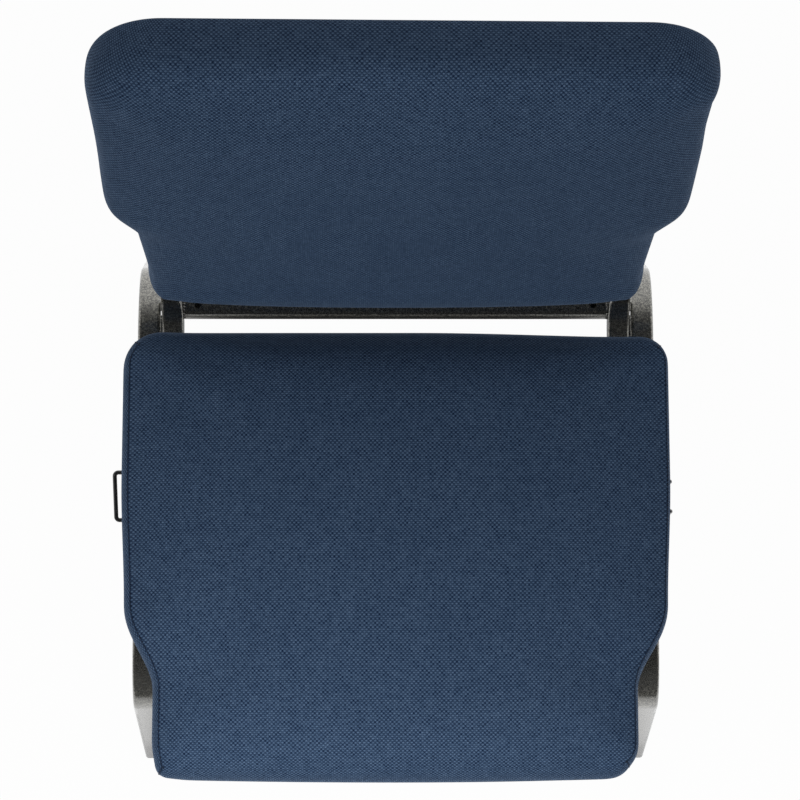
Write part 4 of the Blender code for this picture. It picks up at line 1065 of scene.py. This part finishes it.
def white_stage():
    """Pale floor that the camera sees as nearly white, and shiny metal too away from the chair; painted
    shade dims its mirrored glow under the chair and far in front.
    """
    material, tree, shader = surface(
        "white_stage", Base_Color=(0.80, 0.80, 0.80, 1.0), Roughness=0.9, Specular_IOR_Level=0.0
    )
    seen, mirrored = seen_rays(tree)
    place = on_piece(tree)
    oval = put(tree, "ShaderNodeVectorMath", {0: place, 1: (1.6, 1.0, 1.0)}, operation="MULTIPLY")
    middle = {0: oval.outputs[0], 1: (0.0, -0.10, 0.0)}
    away = put(tree, "ShaderNodeVectorMath", middle, operation="DISTANCE").outputs["Value"]
    ahead = put(tree, "ShaderNodeSeparateXYZ", {0: place}).outputs[1]
    # Painted shade in reflections: the glow that shiny metal sees falls to 2% under the chair and to 8%
    # far in front of it.
    painted_dim_ahead = spread(tree, ahead, -1.7, -0.95, 0.08, 1.0)
    mirror_glow_painted_shade = calc(tree, "MULTIPLY", spread(tree, away, 0.34, 0.56, 0.02, 1.0), painted_dim_ahead)
    share = calc(tree, "MAXIMUM", calc(tree, "MULTIPLY", seen, 0.97), mirrored)
    strength = calc(tree, "MAXIMUM", seen, mirror_glow_painted_shade)
    glow = put(tree, "ShaderNodeEmission", {"Color": (1.0, 1.0, 1.0, 1.0), "Strength": strength})
    mixed = put(tree, "ShaderNodeMixShader", {0: share, 1: shader.outputs[0], 2: glow.outputs[0]})
    tree.links.new(mixed.outputs[0], tree.nodes["Material Output"].inputs["Surface"])
    return material


floor_corners = [(-6, -6, 0), (6, -6, 0), (6, 6, 0), (-6, 6, 0)]
floor_mesh = bpy.data.meshes.new("floor")
floor_mesh.from_pydata(floor_corners, [], [(0, 1, 2, 3)])
floor_mesh.materials.append(white_stage())
floor = placed("floor", floor_mesh)

world = bpy.data.worlds.new("surround")
scene.world = world
world.use_nodes = True
sky = world.node_tree
seen, shiny = seen_rays(sky)
direction = put(sky, "ShaderNodeTexCoord").outputs["Generated"]
to_side, to_rear, upward = put(sky, "ShaderNodeSeparateXYZ", {0: direction}).outputs
beside = calc(sky, "ABSOLUTE", to_side)
wall = spread(sky, calc(sky, "MULTIPLY_ADD", beside, 0.25, to_rear), -0.10, 0.45, 0.10, 0.95)
mirrored = calc(sky, "MULTIPLY_ADD", wall, spread(sky, upward, 0.30, 0.98, 1.0, 0.0), 0.04)
around = spread(sky, calc(sky, "MULTIPLY_ADD", beside, 0.8, to_rear), -0.10, 0.45, 0.10, 0.95)
low_light = calc(sky, "MULTIPLY", around, 0.56)
low_light = calc(sky, "MULTIPLY", low_light, spread(sky, upward, 0.0, 0.65, 1.0, 0.0))
soft = calc(sky, "ADD", low_light, spread(sky, upward, 0.0, 0.8, 0.18, 0.42))
level = calc(sky, "MAXIMUM", seen, calc(sky, "MULTIPLY", shiny, mirrored))
diffuse = calc(sky, "SUBTRACT", 1.0, calc(sky, "MAXIMUM", seen, shiny))
level = calc(sky, "MULTIPLY_ADD", diffuse, soft, level)
sky.nodes["Background"].inputs["Color"].default_value = (1.0, 1.0, 1.0, 1.0)
sky.links.new(level, sky.nodes["Background"].inputs["Strength"])

lamps = (
    ("seat_lamp", (1.0, 0.5), 3.9, 180.0, (-0.06, -0.64, 0.88), (0.0, -0.50, 0.45)),
    ("back_lamp", (0.6, 0.3), 0.29, 50.0, (0.0, -0.55, 1.30), (0.0, 0.24, 1.06)),
)
for name, (width, depth), power, beam, stand_at, aim_at in lamps:
    lamp = placed(name, bpy.data.lights.new(name, "AREA"))
    lamp.data.shape = "RECTANGLE"
    lamp.data.size, lamp.data.size_y = width, depth
    lamp.data.energy = power
    lamp.data.spread = math.radians(beam)
    lamp.location = stand_at
    lamp.rotation_euler = (Vector(aim_at) - lamp.location).to_track_quat("-Z", "Y").to_euler()
    lamp.visible_camera = lamp.visible_glossy = False
